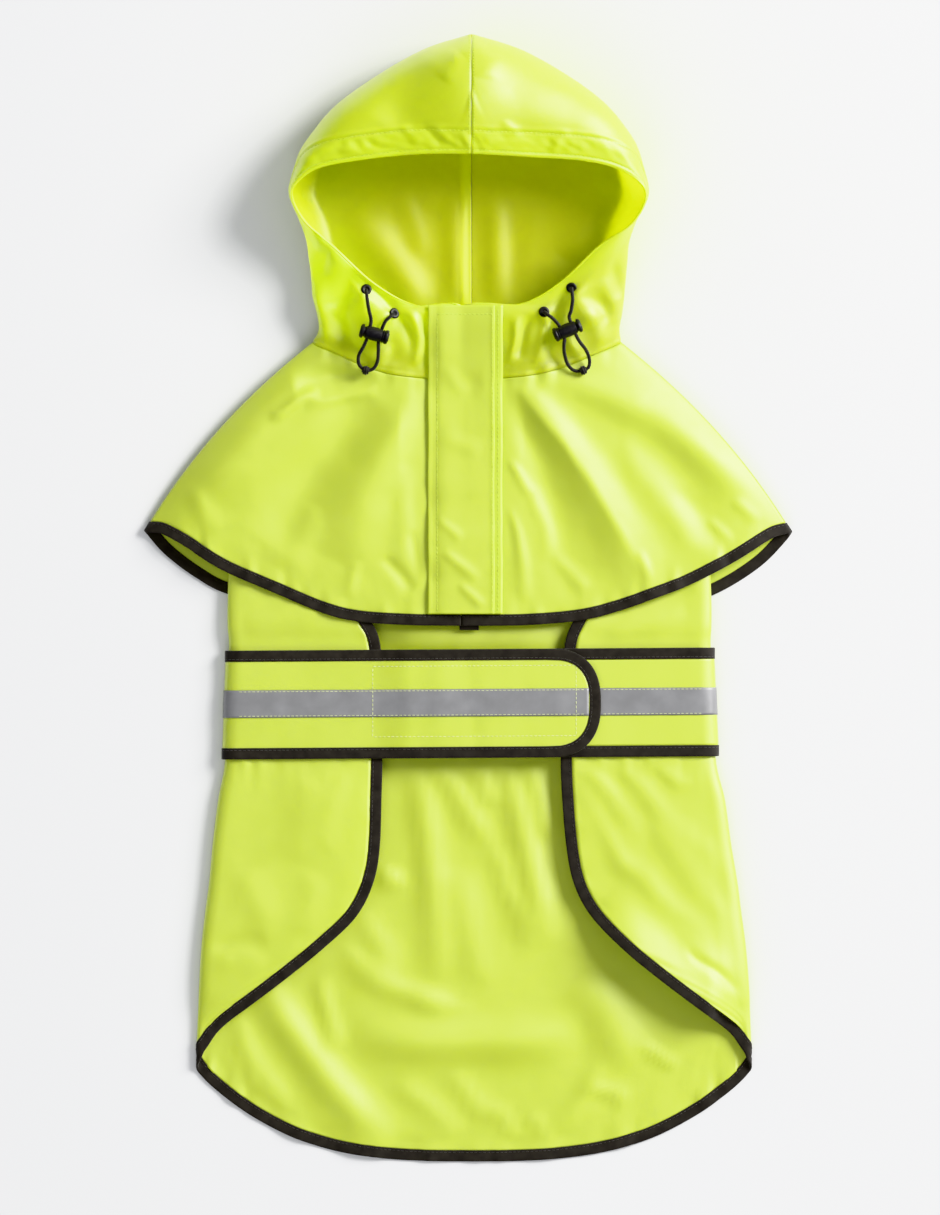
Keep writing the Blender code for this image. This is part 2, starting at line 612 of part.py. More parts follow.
def build_body():
    """Back panel, two flaps folded over it, and the binding along their edges."""
    flaps = {-1: [], 1: []}
    back = []
    for i, row in enumerate(BODY_ROWS):
        left_top, left_under = body_half(row, -1)
        right_top, right_under = body_half(row, 1)
        back.append(left_under + right_under[::-1][1:])
        if i >= FIRST_FLAP_ROW:
            flaps[-1].append(left_top)
            flaps[1].append(right_top)
    for row in back:
        for point in row:
            point.z += fold_height(BACK_FOLDS, point)
    back_normals = grid_normals(back)
    if back_normals[5][5].z > 0:
        back_normals = [[-normal for normal in line] for line in back_normals]
    hem = back[-1]
    hem_out = outward_run(hem, Vector((0, -200, 0)))
    stations = {}
    for side, name, column in ((-1, "body_left", 0), (1, "body_right", -1)):
        rows = flaps[side]
        normals = grid_normals(rows)
        if normals[4][2].z < 0:
            normals = [[-normal for normal in line] for line in normals]
        outline = fold_normals([row[-1] for row in rows], side)
        for end in (0, -1):
            low, high = rows[end][-1].z, rows[end][0].z
            normals[end] = [round_normal((point.z - low) / (high - low), outline[end])
                            for point in rows[end]]
        for i, row in enumerate(rows):
            row[-1].z += GAP / 2
            normals[i][-1] = outline[i]
            back[i + FIRST_FLAP_ROW][column].z -= GAP / 2
            back_normals[i + FIRST_FLAP_ROW][column] = outline[i]
        slant = (outline[0] + Vector((0, 0, -1))).normalized()
        back_normals[FIRST_FLAP_ROW - 1][column] = slant
        wall(name, rows, CLOTH, "cloth", normals)
        free = [row[0] for row in rows]
        free_out = outward_run(free, Vector((side * 400, -78, 0)))
        fold_out = Vector((side * FOLD_OUT, -1, 0)).normalized()
        lower = round_the_fold(rows[-1], normals[-1], free_out[-1], fold_out)
        point, outward, normal = lower[-1]
        lower[-1] = (point + outward * FOLD_GAP, outward, normal)
        stations[side] = list(zip(free, free_out, [line[0] for line in normals]))[:-1] + lower
        inward = 1 if side < 0 else -1
        for step in (1, 2, 3):
            index = column + inward * step
            hem_out[index] = fold_out.lerp(hem_out[index], step / 4)
            back_normals[-1][index] = Vector((0, 0, -1))
    wall("body_back", back, CLOTH, "cloth", back_normals)
    under = list(zip(hem, hem_out, back_normals[-1]))[1:-1]
    edge_strip("body_binding", stations[-1] + under + stations[1][::-1], BINDING, "binding")


# ---------------------------------------------------------------- belly band

def body_row_at(y):
    """Body section between two straight rows of the table."""
    for row, following in zip(BODY_ROWS, BODY_ROWS[1:]):
        if row.side_y >= y >= following.side_y:
            share = (row.side_y - y) / (row.side_y - following.side_y)
            return BodyRow(*[a + (b - a) * share for a, b in zip(row, following)])
    raise ValueError(y)


def band_path(side, y, out, end_x, climb):
    """Path across the coat at y: round the side fold, over the flap and on to end_x."""
    top, _ = body_half(body_row_at(y), side)
    folded = top[::-1]
    path = []
    for j, point in enumerate(folded):
        along = folded[min(j + 1, len(folded) - 1)] - folded[max(j - 1, 0)]
        upward = Vector((-along.z, 0, along.x)) * (1 if along.x > 0 else -1)
        path.append(Vector((point.x, y, point.z)) + upward.normalized() * out)
    path[0].x = folded[0].x + side * out
    path[0].z = folded[0].z
    if side * end_x > side * path[-1].x:
        kept = [point for point in path if side * point.x > side * end_x]
        return kept + [Vector((end_x, y, path[-1].z))]
    start_x = path[-1].x
    level = path[-1].z
    for j in range(1, WING_STEPS + 1):
        x = start_x + (end_x - start_x) * j / WING_STEPS
        rise = min(1.0, max(0.0, (x - CLIMB_START) / CLIMB_LENGTH))
        smooth = rise * rise * (3 - 2 * rise)
        path.append(Vector((x, y, level + climb * smooth)))
    return path


def band_tilt(x):
    """How much further up the coat the band lies at x than at the left side fold."""
    return BAND_RISE * (x + HALF_GIRTH) / (2 * HALF_GIRTH)


def band_y(share, x):
    """Place across the band: share -1 is its lower edge and 1 its upper edge."""
    return (BAND_TOP + BAND_BOTTOM) / 2 + share * (BAND_TOP - BAND_BOTTOM) / 2 + band_tilt(x)


def tape_y(share, x):
    """Place across the reflective tape."""
    return (TAPE_TOP + TAPE_BOTTOM) / 2 + share * (TAPE_TOP - TAPE_BOTTOM) / 2 + band_tilt(x)


def wing_end(share):
    """Rounded end of the left wing at a place across the band."""
    return LEFT_WING_END - WING_ROUND * (1 - (1 - abs(share) ** 2.6) ** (1 / 2.6))


def band_rows(side, shares, place, out, climb, end):
    """Grid of a wing or its tape."""
    rows = []
    for share in shares:
        middle = band_path(side, place(share, 0), out, end(share), climb)
        rows.append([Vector((point.x, place(share, point.x), point.z)) for point in middle])
    return rows


def upward_normals(rows):
    """Grid normals turned to face up, or outward at the side fold."""
    normals = grid_normals(rows)
    middle = normals[len(rows) // 2][-2]
    return normals if middle.z > 0 else [[-normal for normal in line] for line in normals]


def straight_edge(points, normals, way):
    """Stations along a wing's lower (way -1) or upper (way 1) edge."""
    return [(point, Vector((0, way, 0)), normal) for point, normal in zip(points, normals)]


def build_band():
    """Left wing over right wing, with bindings and reflective tape."""
    shares = [math.sin(math.radians(angle)) for angle in (-90, -66, -42, -20, 0, 20, 42, 66, 90)]
    rows = band_rows(-1, shares, band_y, LAYER_1, LAYER_2 - LAYER_1, wing_end)
    normals = upward_normals(rows)
    wall("band_left", rows, CLOTH, "cloth", normals)
    lower = straight_edge(rows[0], normals[0], -1)[:-1]
    upper = straight_edge(rows[-1], normals[-1], 1)[:-1]
    end = [row[-1] for row in rows]
    rounded = list(zip(end, outward_run(end, rows[4][-3]), [line[-1] for line in normals]))
    edge_strip("band_left_binding", lower + rounded + upper[::-1], BINDING, "binding")

    rows = band_rows(1, (-1, -0.5, 0, 0.5, 1), band_y, LAYER_1, 0, lambda share: RIGHT_WING_END)
    normals = upward_normals(rows)
    wall("band_right", rows, CLOTH, "cloth", normals)
    lower = straight_edge(rows[0], normals[0], -1)
    upper = straight_edge(rows[-1], normals[-1], 1)
    edge_strip("band_right_binding_bottom", lower, BINDING, "binding")
    edge_strip("band_right_binding_top", upper, BINDING, "binding")

    tapes = (("reflective_left", -1, LAYER_2 - LAYER_1, LEFT_WING_END - 1.0),
             ("reflective_right", 1, 0, LEFT_WING_END - 6.0))
    for name, side, climb, end_x in tapes:
        rows = band_rows(side, (-1, 1), tape_y, LAYER_1 + TAPE_LIFT, climb, lambda share: end_x)
        wall(name, rows, TAPE, "reflective", upward_normals(rows))


# ---------------------------------------------------------------- placket and hem tab

def build_placket(trees):
    """Storm flap over the front opening, and the strip that shows beside it."""
    places = [PLACKET_BOTTOM + (PLACKET_TOP - PLACKET_BOTTOM) * i / PLACKET_ROWS
              for i in range(PLACKET_ROWS + 1)]
    pieces = (("placket_underlap", UNDERLAP_LEFT, UNDERLAP_RIGHT, CLOTH + 2 * GAP),
              ("placket", PLACKET_LEFT, PLACKET_RIGHT, 2 * CLOTH + 4 * GAP))
    for name, left, right, lift in pieces:
        rows = []
        for y in places:
            row = []
            for j in range(PLACKET_STEPS + 1):
                x = left + (right - left) * j / PLACKET_STEPS
                row.append(Vector((x, y, height_near(trees, x, min(y, PLACKET_TOP - 3)) + lift)))
            rows.append(row)
        wall(name, rows, CLOTH, "cloth")


def build_hem_tab():
    """End of the lower front's binding, under the cape hem."""
    height = CAPE_HEM_Z - BINDING / 2 - GAP - 0.5
    rows = [[Vector((x, y, height)) for x in (-9, 5.5)] for y in (-12, -22.6)]
    wall("hem_tab", rows, 1.0, "binding")


# ---------------------------------------------------------------- drawstring

def build_eyelets(trees):
    """Four metal-ring eyelets seated on the hood front."""
    profile = [(EYELET_RADIUS + EYELET_WIRE * math.cos(math.radians(a)),
                EYELET_WIRE * math.sin(math.radians(a))) for a in range(0, 360, 60)]
    for name, x, y in EYELETS:
        place, normal = top_at(trees, x, y)
        centre = place + normal * (CLOTH / 2 + 2 * GAP + EYELET_WIRE)
        lathe(name, profile, "plastic", 16, centre, normal)


def build_cord(side):
    """Cord from eyelet to eyelet through its lock and knot."""
    route = [Vector(point) for point in CORD_ROUTES[side]]
    curve = catmull(route, 12)
    count = round(sum((b - a).length for a, b in zip(curve, curve[1:])) / (CORD * 2))
    points = resample(curve, [i / count for i in range(count + 1)])
    data = bpy.data.curves.new("cord_" + side, "CURVE")
    data.dimensions = "3D"
    data.bevel_depth = CORD / 2 * MM
    data.bevel_resolution = 2
    data.use_fill_caps = True
    spline = data.splines.new("POLY")
    spline.points.add(len(points) - 1)
    for target, point in zip(spline.points, points):
        target.co = (*to_frame(point), 1)
    add_object("cord_" + side, data, "cord")
    knot_at = route[KNOT_AT[side]]
    axis = (route[KNOT_AT[side] + 1] - route[KNOT_AT[side] - 1]).normalized()
    profile = [(KNOT_HOLE, -KNOT_HALF), (KNOT_HOLE, KNOT_HALF)]
    for share in (1, 0.6, 0.2, -0.2, -0.6, -1):
        height = KNOT_HALF * share
        profile.append((math.sqrt(KNOT_RADIUS ** 2 - height ** 2), height))
    lathe("cord_knot_" + side, profile, "cord", 14, knot_at, axis)


def build_lock(side):
    """Two-hole barrel cord lock."""
    x, y, z, angle = LOCKS[side]
    half = LOCK_LENGTH / 2
    rims = [(LOCK_RADIUS - 0.8, half), (LOCK_RADIUS, half - 0.8), (LOCK_RADIUS, half - LOCK_FLANGE),
            (LOCK_WAIST, half - LOCK_FLANGE - 0.8)]
    profile = [(radius, -height) for radius, height in rims] + rims[::-1]
    turn = math.radians(angle)
    axis = Vector((math.cos(turn), math.sin(turn), 0))
    solid = bmesh.new()
    rings = []
    spin = Vector((0, 0, 1)).rotation_difference(axis).to_matrix()
    sides = 16
    for radius, height in profile:
        ring = []
        for k in range(sides):
            around = 2 * math.pi * k / sides
            place = Vector((radius * math.cos(around), radius * math.sin(around), height))
            ring.append(solid.verts.new(spin @ place + Vector((x, y, z))))
        rings.append(ring)
    for ring, following in zip(rings, rings[1:]):
        for k in range(sides):
            m = (k + 1) % sides
            solid.faces.new((ring[k], ring[m], following[m], following[k]))
    solid.faces.new(rings[0][::-1])
    solid.faces.new(rings[-1])
    lock = finish_mesh("cord_lock_" + side, solid, "plastic")
    across = Vector((-axis.y, axis.x, 0))
    for shift in (-0.5, 0.5):
        place = Vector((x, y, z)) + axis * (shift * LOCK_PITCH)
        bpy.ops.mesh.primitive_cylinder_add(vertices=12, radius=LOCK_HOLE / 2 * MM,
                                            depth=4 * LOCK_RADIUS * MM)
        cutter = bpy.context.object
        cutter.matrix_world = (Matrix.Translation(to_frame(place))
                               @ Vector((0, 0, 1)).rotation_difference(across).to_matrix().to_4x4())
        cutter.hide_render = True
        cutter.display_type = "WIRE"
        cutter.name = "lock_hole_" + side
        cut = lock.modifiers.new("strand hole", "BOOLEAN")
        cut.object = cutter


# ---------------------------------------------------------------- the coat

def main():
    for item in list(bpy.data.objects):
        bpy.data.objects.remove(item)
    hood = build_hood()
    cape = build_cape(hood)
    build_body()
    build_band()
    trees = [surface_tree(rows) for rows in (*hood.values(), *cape.values())]
    build_placket(trees)
    build_hem_tab()
    build_eyelets(trees)
    for side in ("left", "right"):
        build_cord(side)
        build_lock(side)


main()
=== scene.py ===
"""Looks of the dog raincoat: cloth, bindings, reflective tape, stitches and drawstrings.

All tables and constants are in millimetres, in the CAD model's own places: X from the hood's
middle seam, Y up the coat, Z up from the floor. to_frame turns them into the frame's metres.
"""
import math
from collections import namedtuple

import bmesh
import bpy
import numpy as np
from mathutils import Matrix, Vector
from mathutils.bvhtree import BVHTree


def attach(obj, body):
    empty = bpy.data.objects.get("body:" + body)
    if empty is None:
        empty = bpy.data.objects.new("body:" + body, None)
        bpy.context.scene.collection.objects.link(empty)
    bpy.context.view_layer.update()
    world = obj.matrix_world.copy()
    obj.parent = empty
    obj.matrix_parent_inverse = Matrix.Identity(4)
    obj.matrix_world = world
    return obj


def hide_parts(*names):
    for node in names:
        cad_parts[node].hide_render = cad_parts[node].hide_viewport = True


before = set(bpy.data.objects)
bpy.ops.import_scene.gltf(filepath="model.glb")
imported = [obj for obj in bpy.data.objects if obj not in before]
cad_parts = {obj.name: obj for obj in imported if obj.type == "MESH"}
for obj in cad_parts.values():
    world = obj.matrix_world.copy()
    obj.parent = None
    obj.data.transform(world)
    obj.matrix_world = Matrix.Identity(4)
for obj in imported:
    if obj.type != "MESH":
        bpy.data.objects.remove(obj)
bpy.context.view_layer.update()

MM = 0.001
BOX_MIDDLE = np.array((-2.5, 0.6, 0.0))   # middle of the coat's box, in the tables' own places

# Camera, as far above the coat as keeps its outline true
CAMERA_HEIGHT = 8000.0
VIEW_MIDDLE = (-1.1, -5.9)
VIEW_LENGTH = 899.1                       # of the floor, from the picture's bottom to its top
SENSOR = 36.0

# Cloth and trims
SHELL = 0.8               # drawn thickness of the cloth
CLOTH = 1.2               # thickness of the CAD walls, which the layers are spaced by
BINDING = 1.9
BINDING_WIDTH = 8.0
BINDING_OVERLAP = 0.4     # of the binding over the cloth's edge
LOWEST = 0.02             # nothing lies lower above the floor
LINE_STEP = 1.0           # between the points of a line laid over the cloth
TAPE = 0.5
GAP = 0.3
FOLD_GAP = 1.0
NECK_GAP = 0.02
FLOOR = CLOTH / 2
HEM_FLOOR = 1.0
ON_CAPE = 2.3

# Front opening, placket and belly band
SLIT_X = -7.5
PLACKET_DROP = 1.7        # of its left edge onto the front
PLACKET_LEFT, PLACKET_RIGHT = -32.0, 17.0
UNDERLAP_LEFT, UNDERLAP_RIGHT = -14.0, 23.0
PLACKET_TOP, PLACKET_BOTTOM = 217.0, -10.7
CAPE_HEM_Z = 13.5
BAND_TOP, BAND_BOTTOM = -45.8, -110.3
BAND_RISE = 2.4
HALF_GIRTH = 180.0
CLIMB_START, CLIMB_LENGTH = -72.0, 28.0
TAPE_TOP, TAPE_BOTTOM = -67.3, -87.5
LAYER_1 = 2.3
LAYER_2 = 5.5
TAPE_LIFT = SHELL / 2 + TAPE / 2 + 0.05
LEFT_WING_END, RIGHT_WING_END = 87.7, -40.0
WING_ROUND = 30.0

# Hood drawstring
CORD = 2.7
LOCK_HOLE, LOCK_PITCH = 4.0, 9.0

HoodRow = namedtuple("HoodRow", "edge_z side_z back_y l_edge_x l_edge_y l_side_x l_side_y "
                     "r_edge_x r_edge_y r_side_x r_side_y sag")
HOOD_ROWS = [
    HoodRow(17, 9, 205, SLIT_X, 161, -117, 190, SLIT_X, 161, 110, 190, 9),
    HoodRow(21, 11, 214, SLIT_X, 188, -112, 200, SLIT_X, 188, 109, 200, 9),
    HoodRow(25, 13, 226, SLIT_X, 217, -113, 212, SLIT_X, 217, 111, 212, 9),
    HoodRow(26, 16, 240, -40, 217, -117, 228, 35, 218, 113, 228, 4),
    HoodRow(30, 19, 256, -71, 233, -119, 246, 65, 234, 114.5, 247, 0),
    HoodRow(38, 22, 274, -102, 261, -121, 266, 93, 260, 116, 265, 0),
    HoodRow(43, 24, 289, -122, 277, -126.5, 282, 116.5, 275, 121.5, 281, 0),
    HoodRow(47, 26, 304, -132, 295, -133.5, 299, 128, 293, 129.5, 298, 0),
    HoodRow(50, 27, 320, -129, 306, -131, 313, 124.5, 306, 127, 315, 0),
    HoodRow(54, 28, 338, -112, 317, -122.5, 336, 106, 317, 118, 341, 0),
    HoodRow(58, 28, 360, -80, 323, -94, 369, 80, 322.5, 92, 371, 0),
    HoodRow(60, 28, 386, -40, 327, -41, 402.5, 42, 325, 43, 402, 0),
    HoodRow(61, 28, 404, 0, 327.5, 0, 416.5, 0, 327.5, 0, 416.5, 0),
]
PUFF = 3.0
FULL_REACH = 40.0
SHOULDER = 0.86
HEEL_IN, FLAT_IN = 13.0, 34.0

HemRow = namedtuple("HemRow", "l_x l_y r_x r_y z")
CAPE_FRONT_HEM = [
    HemRow(SLIT_X, -11.5, SLIT_X, -11.5, CAPE_HEM_Z),
    HemRow(-45, -11, 40, -11, CAPE_HEM_Z),
    HemRow(-82, -8.5, 80, -7.5, CAPE_HEM_Z),
    HemRow(-107, -2.6, 107, -0.8, CAPE_HEM_Z),
    HemRow(-141, 11.5, 132, 8, CAPE_HEM_Z),
    HemRow(-182, 29.5, 158, 18, 13.4),
    HemRow(-209, 47, 191, 35, 12),
    HemRow(-226, 56, 218, 52, 8.5),
    HemRow(-237, 58, 232, 57, 5),
]
CAPE_BACK_HEM = [
    HemRow(-237, 58, 232, 57, 5),
    HemRow(-232, 51, 227, 49, 2.2),
    HemRow(-220, 38, 207.5, 29.6, HEM_FLOOR),
    HemRow(-199, 22.5, 176, 10.8, HEM_FLOOR),
    HemRow(-176, 11, 140, 0.5, HEM_FLOOR),
    HemRow(-120, -3, 100, -6, HEM_FLOOR),
    HemRow(-60, -9, 50, -10, HEM_FLOOR),
    HemRow(0, -10.7, 0, -10.7, HEM_FLOOR),
]
CAPE_BULGE = 7.0
PLACKET_CLEAR, PLACKET_FADE = 24.0, 22.0
SHOULDER_RISE = {-1: 6.0, 1: 3.0}   # of the cape's rounded sides

BodyRow = namedtuple("BodyRow", "mid_y side_y l_side_x l_flap_x l_flap_y r_side_x r_flap_x r_flap_y "
                     "lift under")
BODY_ROWS = [
    BodyRow(196, 186, -92, -92, 186, 88, 88, 186, 0, 1.9),
    BodyRow(150, 148, -119, -119, 148, 114, 114, 148, 0, 1.9),
    BodyRow(112, 110, -146, -146, 110, 140, 140, 110, 0, 1.9),
    BodyRow(82, 78, -168, -161, 71, 164, 157, 71, 4.5, 1.9),
    BodyRow(56, 50, -176, -143, 55, 173, 140, 55, 6, 1.9),
    BodyRow(30, 24, -179, -117, 32, 176, 115, 32, 7, ON_CAPE),
    BodyRow(0, -2, -180, -94, -2, 177, 93, -2, 7.5, ON_CAPE),
    BodyRow(-20, -20, -180, -81, -20, 177, 82, -20, 8, ON_CAPE),
    BodyRow(-36, -36, -179, -75, -36, 176.5, 76.5, -36, 9, 0.2),
    BodyRow(-78, -78, -180.5, -73.8, -78, 178.5, 73.8, -78, 9.5, 0),
    BodyRow(-120, -120, -182, -73.8, -120, 180.5, 73.8, -120, 9.5, 0),
    BodyRow(-150, -148, -187, -74.5, -148, 187, 75, -148, 10, 0),
    BodyRow(-184, -180, -191, -75.5, -180, 191.5, 78, -182, 10, 0),
    BodyRow(-218, -207, -193.5, -79.5, -205, 196, 83, -207, 10, 0),
    BodyRow(-250, -230, -196.5, -91, -229, 199, 94.5, -229, 10, 0),
    BodyRow(-284, -252, -199, -114, -251.3, 202, 118, -253.2, 10, 0),
    BodyRow(-318, -273, -200.5, -140, -272.5, 204, 144, -274.5, 10, 0),
    BodyRow(-348, -291, -201.4, -166, -292.3, 205.2, 169, -293.4, 9, 0),
    BodyRow(-374, -303, -201.8, -184, -305.5, 205.5, 188, -307.4, 7, 0.2),
    BodyRow(-393, -314, -202.3, -194, -314.8, 205.9, 198, -315.8, 5.2, 0.4),
    BodyRow(-407.6, -330, -203, -197.5, -319.5, 206.6, 201.2, -320, 4.4, 0.4),
]
TAIL_HEM = [(0, -407.8), (32, -407.5), (64, -405.6), (96, -400.8), (123, -393), (140, -385.6),
            (154, -378), (165.5, -370.8), (176, -363), (185, -355.8), (193, -348.2), (199, -340.4),
            (202.4, -334), (203, -330)]
FIRST_FLAP_ROW = 3
ROW_POWER = 3.0
FOLD_REACH = 9.0

# Folds and creases: a line in plan, the sideways bow of its middle, the half-widths at its two
# ends, and the height (a trough is negative)
Crease = namedtuple("Crease", "x0 y0 x1 y1 bow start end height")
CAPE_FOLDS = [
    Crease(28, 150, 78, 4, 5, 8, 20, -3.2),
    Crease(28, 168, 136, -8, 9, 8, 20, 5.5),
    Crease(58, 168, 212, 76, 8, 10, 18, 3.8),
    Crease(-64, 170, -132, 157, -3, 8, 10, -5.0),
    Crease(-32, 156, -98, 26, -6, 12, 22, 5.0),
    Crease(-70, 150, -150, 40, -4, 14, 20, -4.0),
    Crease(-96, 150, -196, 74, 4, 14, 18, 3.0),
    Crease(118, 144, 206, 40, 0, 16, 20, -2.5),
]
HOOD_FOLDS = [
    Crease(-78, 228, -98, 205, 0, 9, 9, 3.5),
    Crease(-57, 211, -62, 172, 0, 9, 9, -2.5),
    Crease(74, 229, 92, 203, 0, 9, 9, 3.5),
    Crease(54, 211, 58, 172, 0, 9, 9, -2.5),
    Crease(0, 318, 0, 430, 0, 48, 32, 11.0),
    Crease(-62, 348, -34, 398, 0, 16, 14, -2.0),
    Crease(46, 340, 60, 384, 0, 18, 16, 1.5),
]
BACK_FOLDS = [
    Crease(-41, -118, -24, -292, 3, 8, 13, 3.6),
    Crease(-12, -196, 8, -292, 0, 10, 11, 2.6),
    Crease(24, -118, 56, -262, 2, 7, 11, 3.8),
    Crease(-160, -278, -58, -410, -5, 12, 14, 5.2),
    Crease(-92, -326, 84, -322, -4, 14, 15, 6.0),
    Crease(76, -280, 118, -350, 6, 16, 18, 4.0),
    Crease(-74, -31, 78, -31, 0, 15, 15, 6.0),
]
CAPE_CREASES = [
    Crease(32, 158, 131, 2, 8, 3, 5, 0.8),
    Crease(122, 36, 134, 4, 0, 3, 4, 1.4),
    Crease(26, 104, 46, 78, 0, 3, 5, 1.2),
    Crease(28, 70, 38, -4, 3, 3, 5, 1.4),
    Crease(44, 88, 56, 26, 4, 5, 8, 1.3),
    Crease(58, 32, 88, 4, 0, 5, 6, 1.2),
    Crease(112, 122, 176, 30, -5, 9, 12, 1.6),
    Crease(150, 84, 186, 34, 4, 8, 9, -1.2),
    Crease(176, 62, 192, 40, 0, 3, 4, 1.2),
    Crease(196, 78, 214, 56, 0, 4, 5, 1.2),
    Crease(-150, 136, -110, 153, 0, 4, 6, 2.2),
    Crease(-70, 157, -122, 141, 0, 4, 5, 1.5),
    Crease(-214, 86, -186, 50, 0, 7, 10, 1.3),
    Crease(-50, 100, -56, 20, 3, 7, 9, 1.4),
    Crease(-112, 70, -146, 20, 4, 9, 12, 1.6),
    Crease(-66, 32, -44, 8, 0, 4, 5, -1.6),
    Crease(-46, 54, -38, 14, 0, 4, 5, -1.2),
    Crease(-86, 30, -92, 2, 0, 5, 6, 1.2),
]
HOOD_CREASES = [
    Crease(-84, 236, -40, 178, 6, 5, 6, -3.6),
    Crease(-58, 214, -80, 184, -4, 4, 5, 2.2),
    Crease(-48, 216, -42, 172, 3, 4, 5, 3.0),
    Crease(-38, 214, -34, 168, 0, 3, 4, -2.0),
    Crease(-84, 228, -108, 214, 0, 4, 5, -2.0),
    Crease(-82, 244, -92, 184, -6, 8, 9, -6.0),
    Crease(-113, 240, -104, 188, -2, 7, 9, 4.6),
    Crease(-72, 200, -84, 170, -3, 4, 6, -2.2),
    Crease(-60, 190, -74, 168, 0, 4, 5, 2.2),
    Crease(76, 232, 60, 196, -5, 4, 5, -2.6),
    Crease(54, 214, 46, 168, 4, 3, 5, 2.6),
    Crease(58, 206, 78, 172, 4, 4, 6, 2.6),
    Crease(44, 214, 34, 178, 0, 4, 5, -2.4),
    Crease(34, 212, 28, 172, 0, 3, 4, 2.0),
    Crease(80, 226, 104, 206, 3, 5, 7, -2.0),
    Crease(86, 214, 98, 176, 4, 5, 7, 2.2),
    Crease(70, 196, 76, 168, 0, 4, 6, -2.4),
    Crease(96, 240, 108, 204, 0, 5, 6, 1.6),
    Crease(-22, 382, -7, 400, 0, 8, 8, 1.2),
    Crease(12, 380, 18, 398, 0, 7, 7, 1.2),
    Crease(-37, 349, -10, 328, -3, 3, 3, -1.5),
    Crease(-28, 342, -6, 328, 0, 2.5, 3, 1.6),
    Crease(-52, 348, -34, 334, 0, 3, 3, 1.2),
    Crease(-98, 336, -80, 326, 0, 4, 4, 1.0),
    Crease(20, 352, 36, 340, 0, 3, 4, 1.2),
    Crease(60, 326, 72, 346, 0, 3, 4, 1.2),
    Crease(-105, 262, -116, 222, 0, 5, 7, -2.4),
    Crease(102, 252, 109, 222, 0, 5, 6, -1.4),
]
HOOD_BACK_CREASES = [
    Crease(-94, 288, -34, 212, 4, 17, 12, 5.0),
    Crease(-52, 304, -34, 252, 0, 8, 7, 1.4),
    Crease(-13, 304, -11, 212, 0, 8, 8, 2.6),
    Crease(17, 304, 20, 212, 0, 9, 9, 2.8),
    Crease(48, 300, 40, 222, 0, 10, 9, 1.2),
    Crease(76, 306, 54, 228, -3, 13, 12, 2.0),
    Crease(104, 310, 72, 250, 0, 16, 12, 5.0),
]
BACK_CREASES = [
    Crease(-60, -176, -41, -218, 0, 5, 6, -2.6),
    Crease(-68, -206, -46, -203, 0, 8, 8, 2.8),
    Crease(-26, -118, 14, -186, -3, 6, 8, 2.4),
    Crease(10, -176, 46, -268, 3, 5, 7, 2.0),
    Crease(2, -118, 12, -156, 0, 5, 6, 2.0),
    Crease(40, -120, 62, -180, 0, 6, 7, 2.2),
    Crease(-102, -258, -10, -300, -9, 8, 8, 2.6),
    Crease(-50, -294, 4, -306, 0, 6, 6, 1.4),
    Crease(-112, -276, -96, -336, -2, 6, 8, 2.2),
    Crease(-178, -306, -134, -380, -4, 7, 10, 1.6),
    Crease(-60, -352, -10, -400, 0, 7, 9, 1.6),
    Crease(-18, -346, 12, -386, 0, 7, 8, 1.8),
    Crease(12, -370, 34, -402, 0, 4, 5, 1.6),
    Crease(42, -378, 58, -404, 0, 4, 5, 1.6),
    Crease(96, -340, 58, -396, 5, 8, 9, 2.2),
    Crease(84, -362, 118, -374, 3, 5, 6, 1.8),
    Crease(122, -330, 152, -348, 0, 4, 5, 1.4),
    Crease(-82, -226, -64, -284, 3, 9, 10, 1.8),
]
FLAP_CREASES = [
    Crease(-120, -128, -134, -196, 5, 13, 15, 1.2),
    Crease(-96, -126, -106, -190, -3, 9, 10, 1.0),
    Crease(-206, -262, -150, -255, 2, 5, 8, -1.5),
    Crease(-198, -272, -150, -268, 2, 7, 10, 0.8),
    Crease(-168, -196, -150, -256, 3, 12, 14, 1.2),
    Crease(-116, -204, -132, -246, 3, 10, 10, 1.0),
    Crease(80, -116, 130, -186, 0, 5, 10, 1.3),
    Crease(104, -112, 188, -202, -3, 6, 13, 1.4),
    Crease(134, -112, 160, -142, 0, 4, 6, 1.2),
    Crease(84, -148, 118, -204, 0, 5, 8, 0.9),
    Crease(92, -172, 206, -298, 5, 10, 15, 2.4),
    Crease(130, -158, 208, -268, 0, 9, 14, 1.7),
    Crease(158, -256, 210, -292, 0, 4, 5, -1.8),
    Crease(100, -8, 170, 14, 5, 9, 11, -1.2),
    Crease(96, -24, 160, -8, -3, 8, 9, 1.2),
    Crease(-100, 2, -170, -22, 4, 9, 9, 1.2),
]
# Where the right flap's free edge stands off the back
FLAP_LIFTS = [Crease(88, -232, 210, -336, -4, 25, 36, 13.5)]
FLAP_SETTLE = 30.0        # beside the side fold, where the lift dies away
PLACKET_CREASES = [
    Crease(-26, 60, -6, 44, 0, 3, 4, 0.9),
    Crease(-22, 36, 6, 14, 0, 3, 5, 1.2),
    Crease(-10, 12, 10, -6, 0, 3, 4, 1.0),
    Crease(-20, 172, -4, 150, 0, 5, 6, 0.8),
    Crease(-24, 122, 8, 108, 0, 6, 7, 0.7),
]

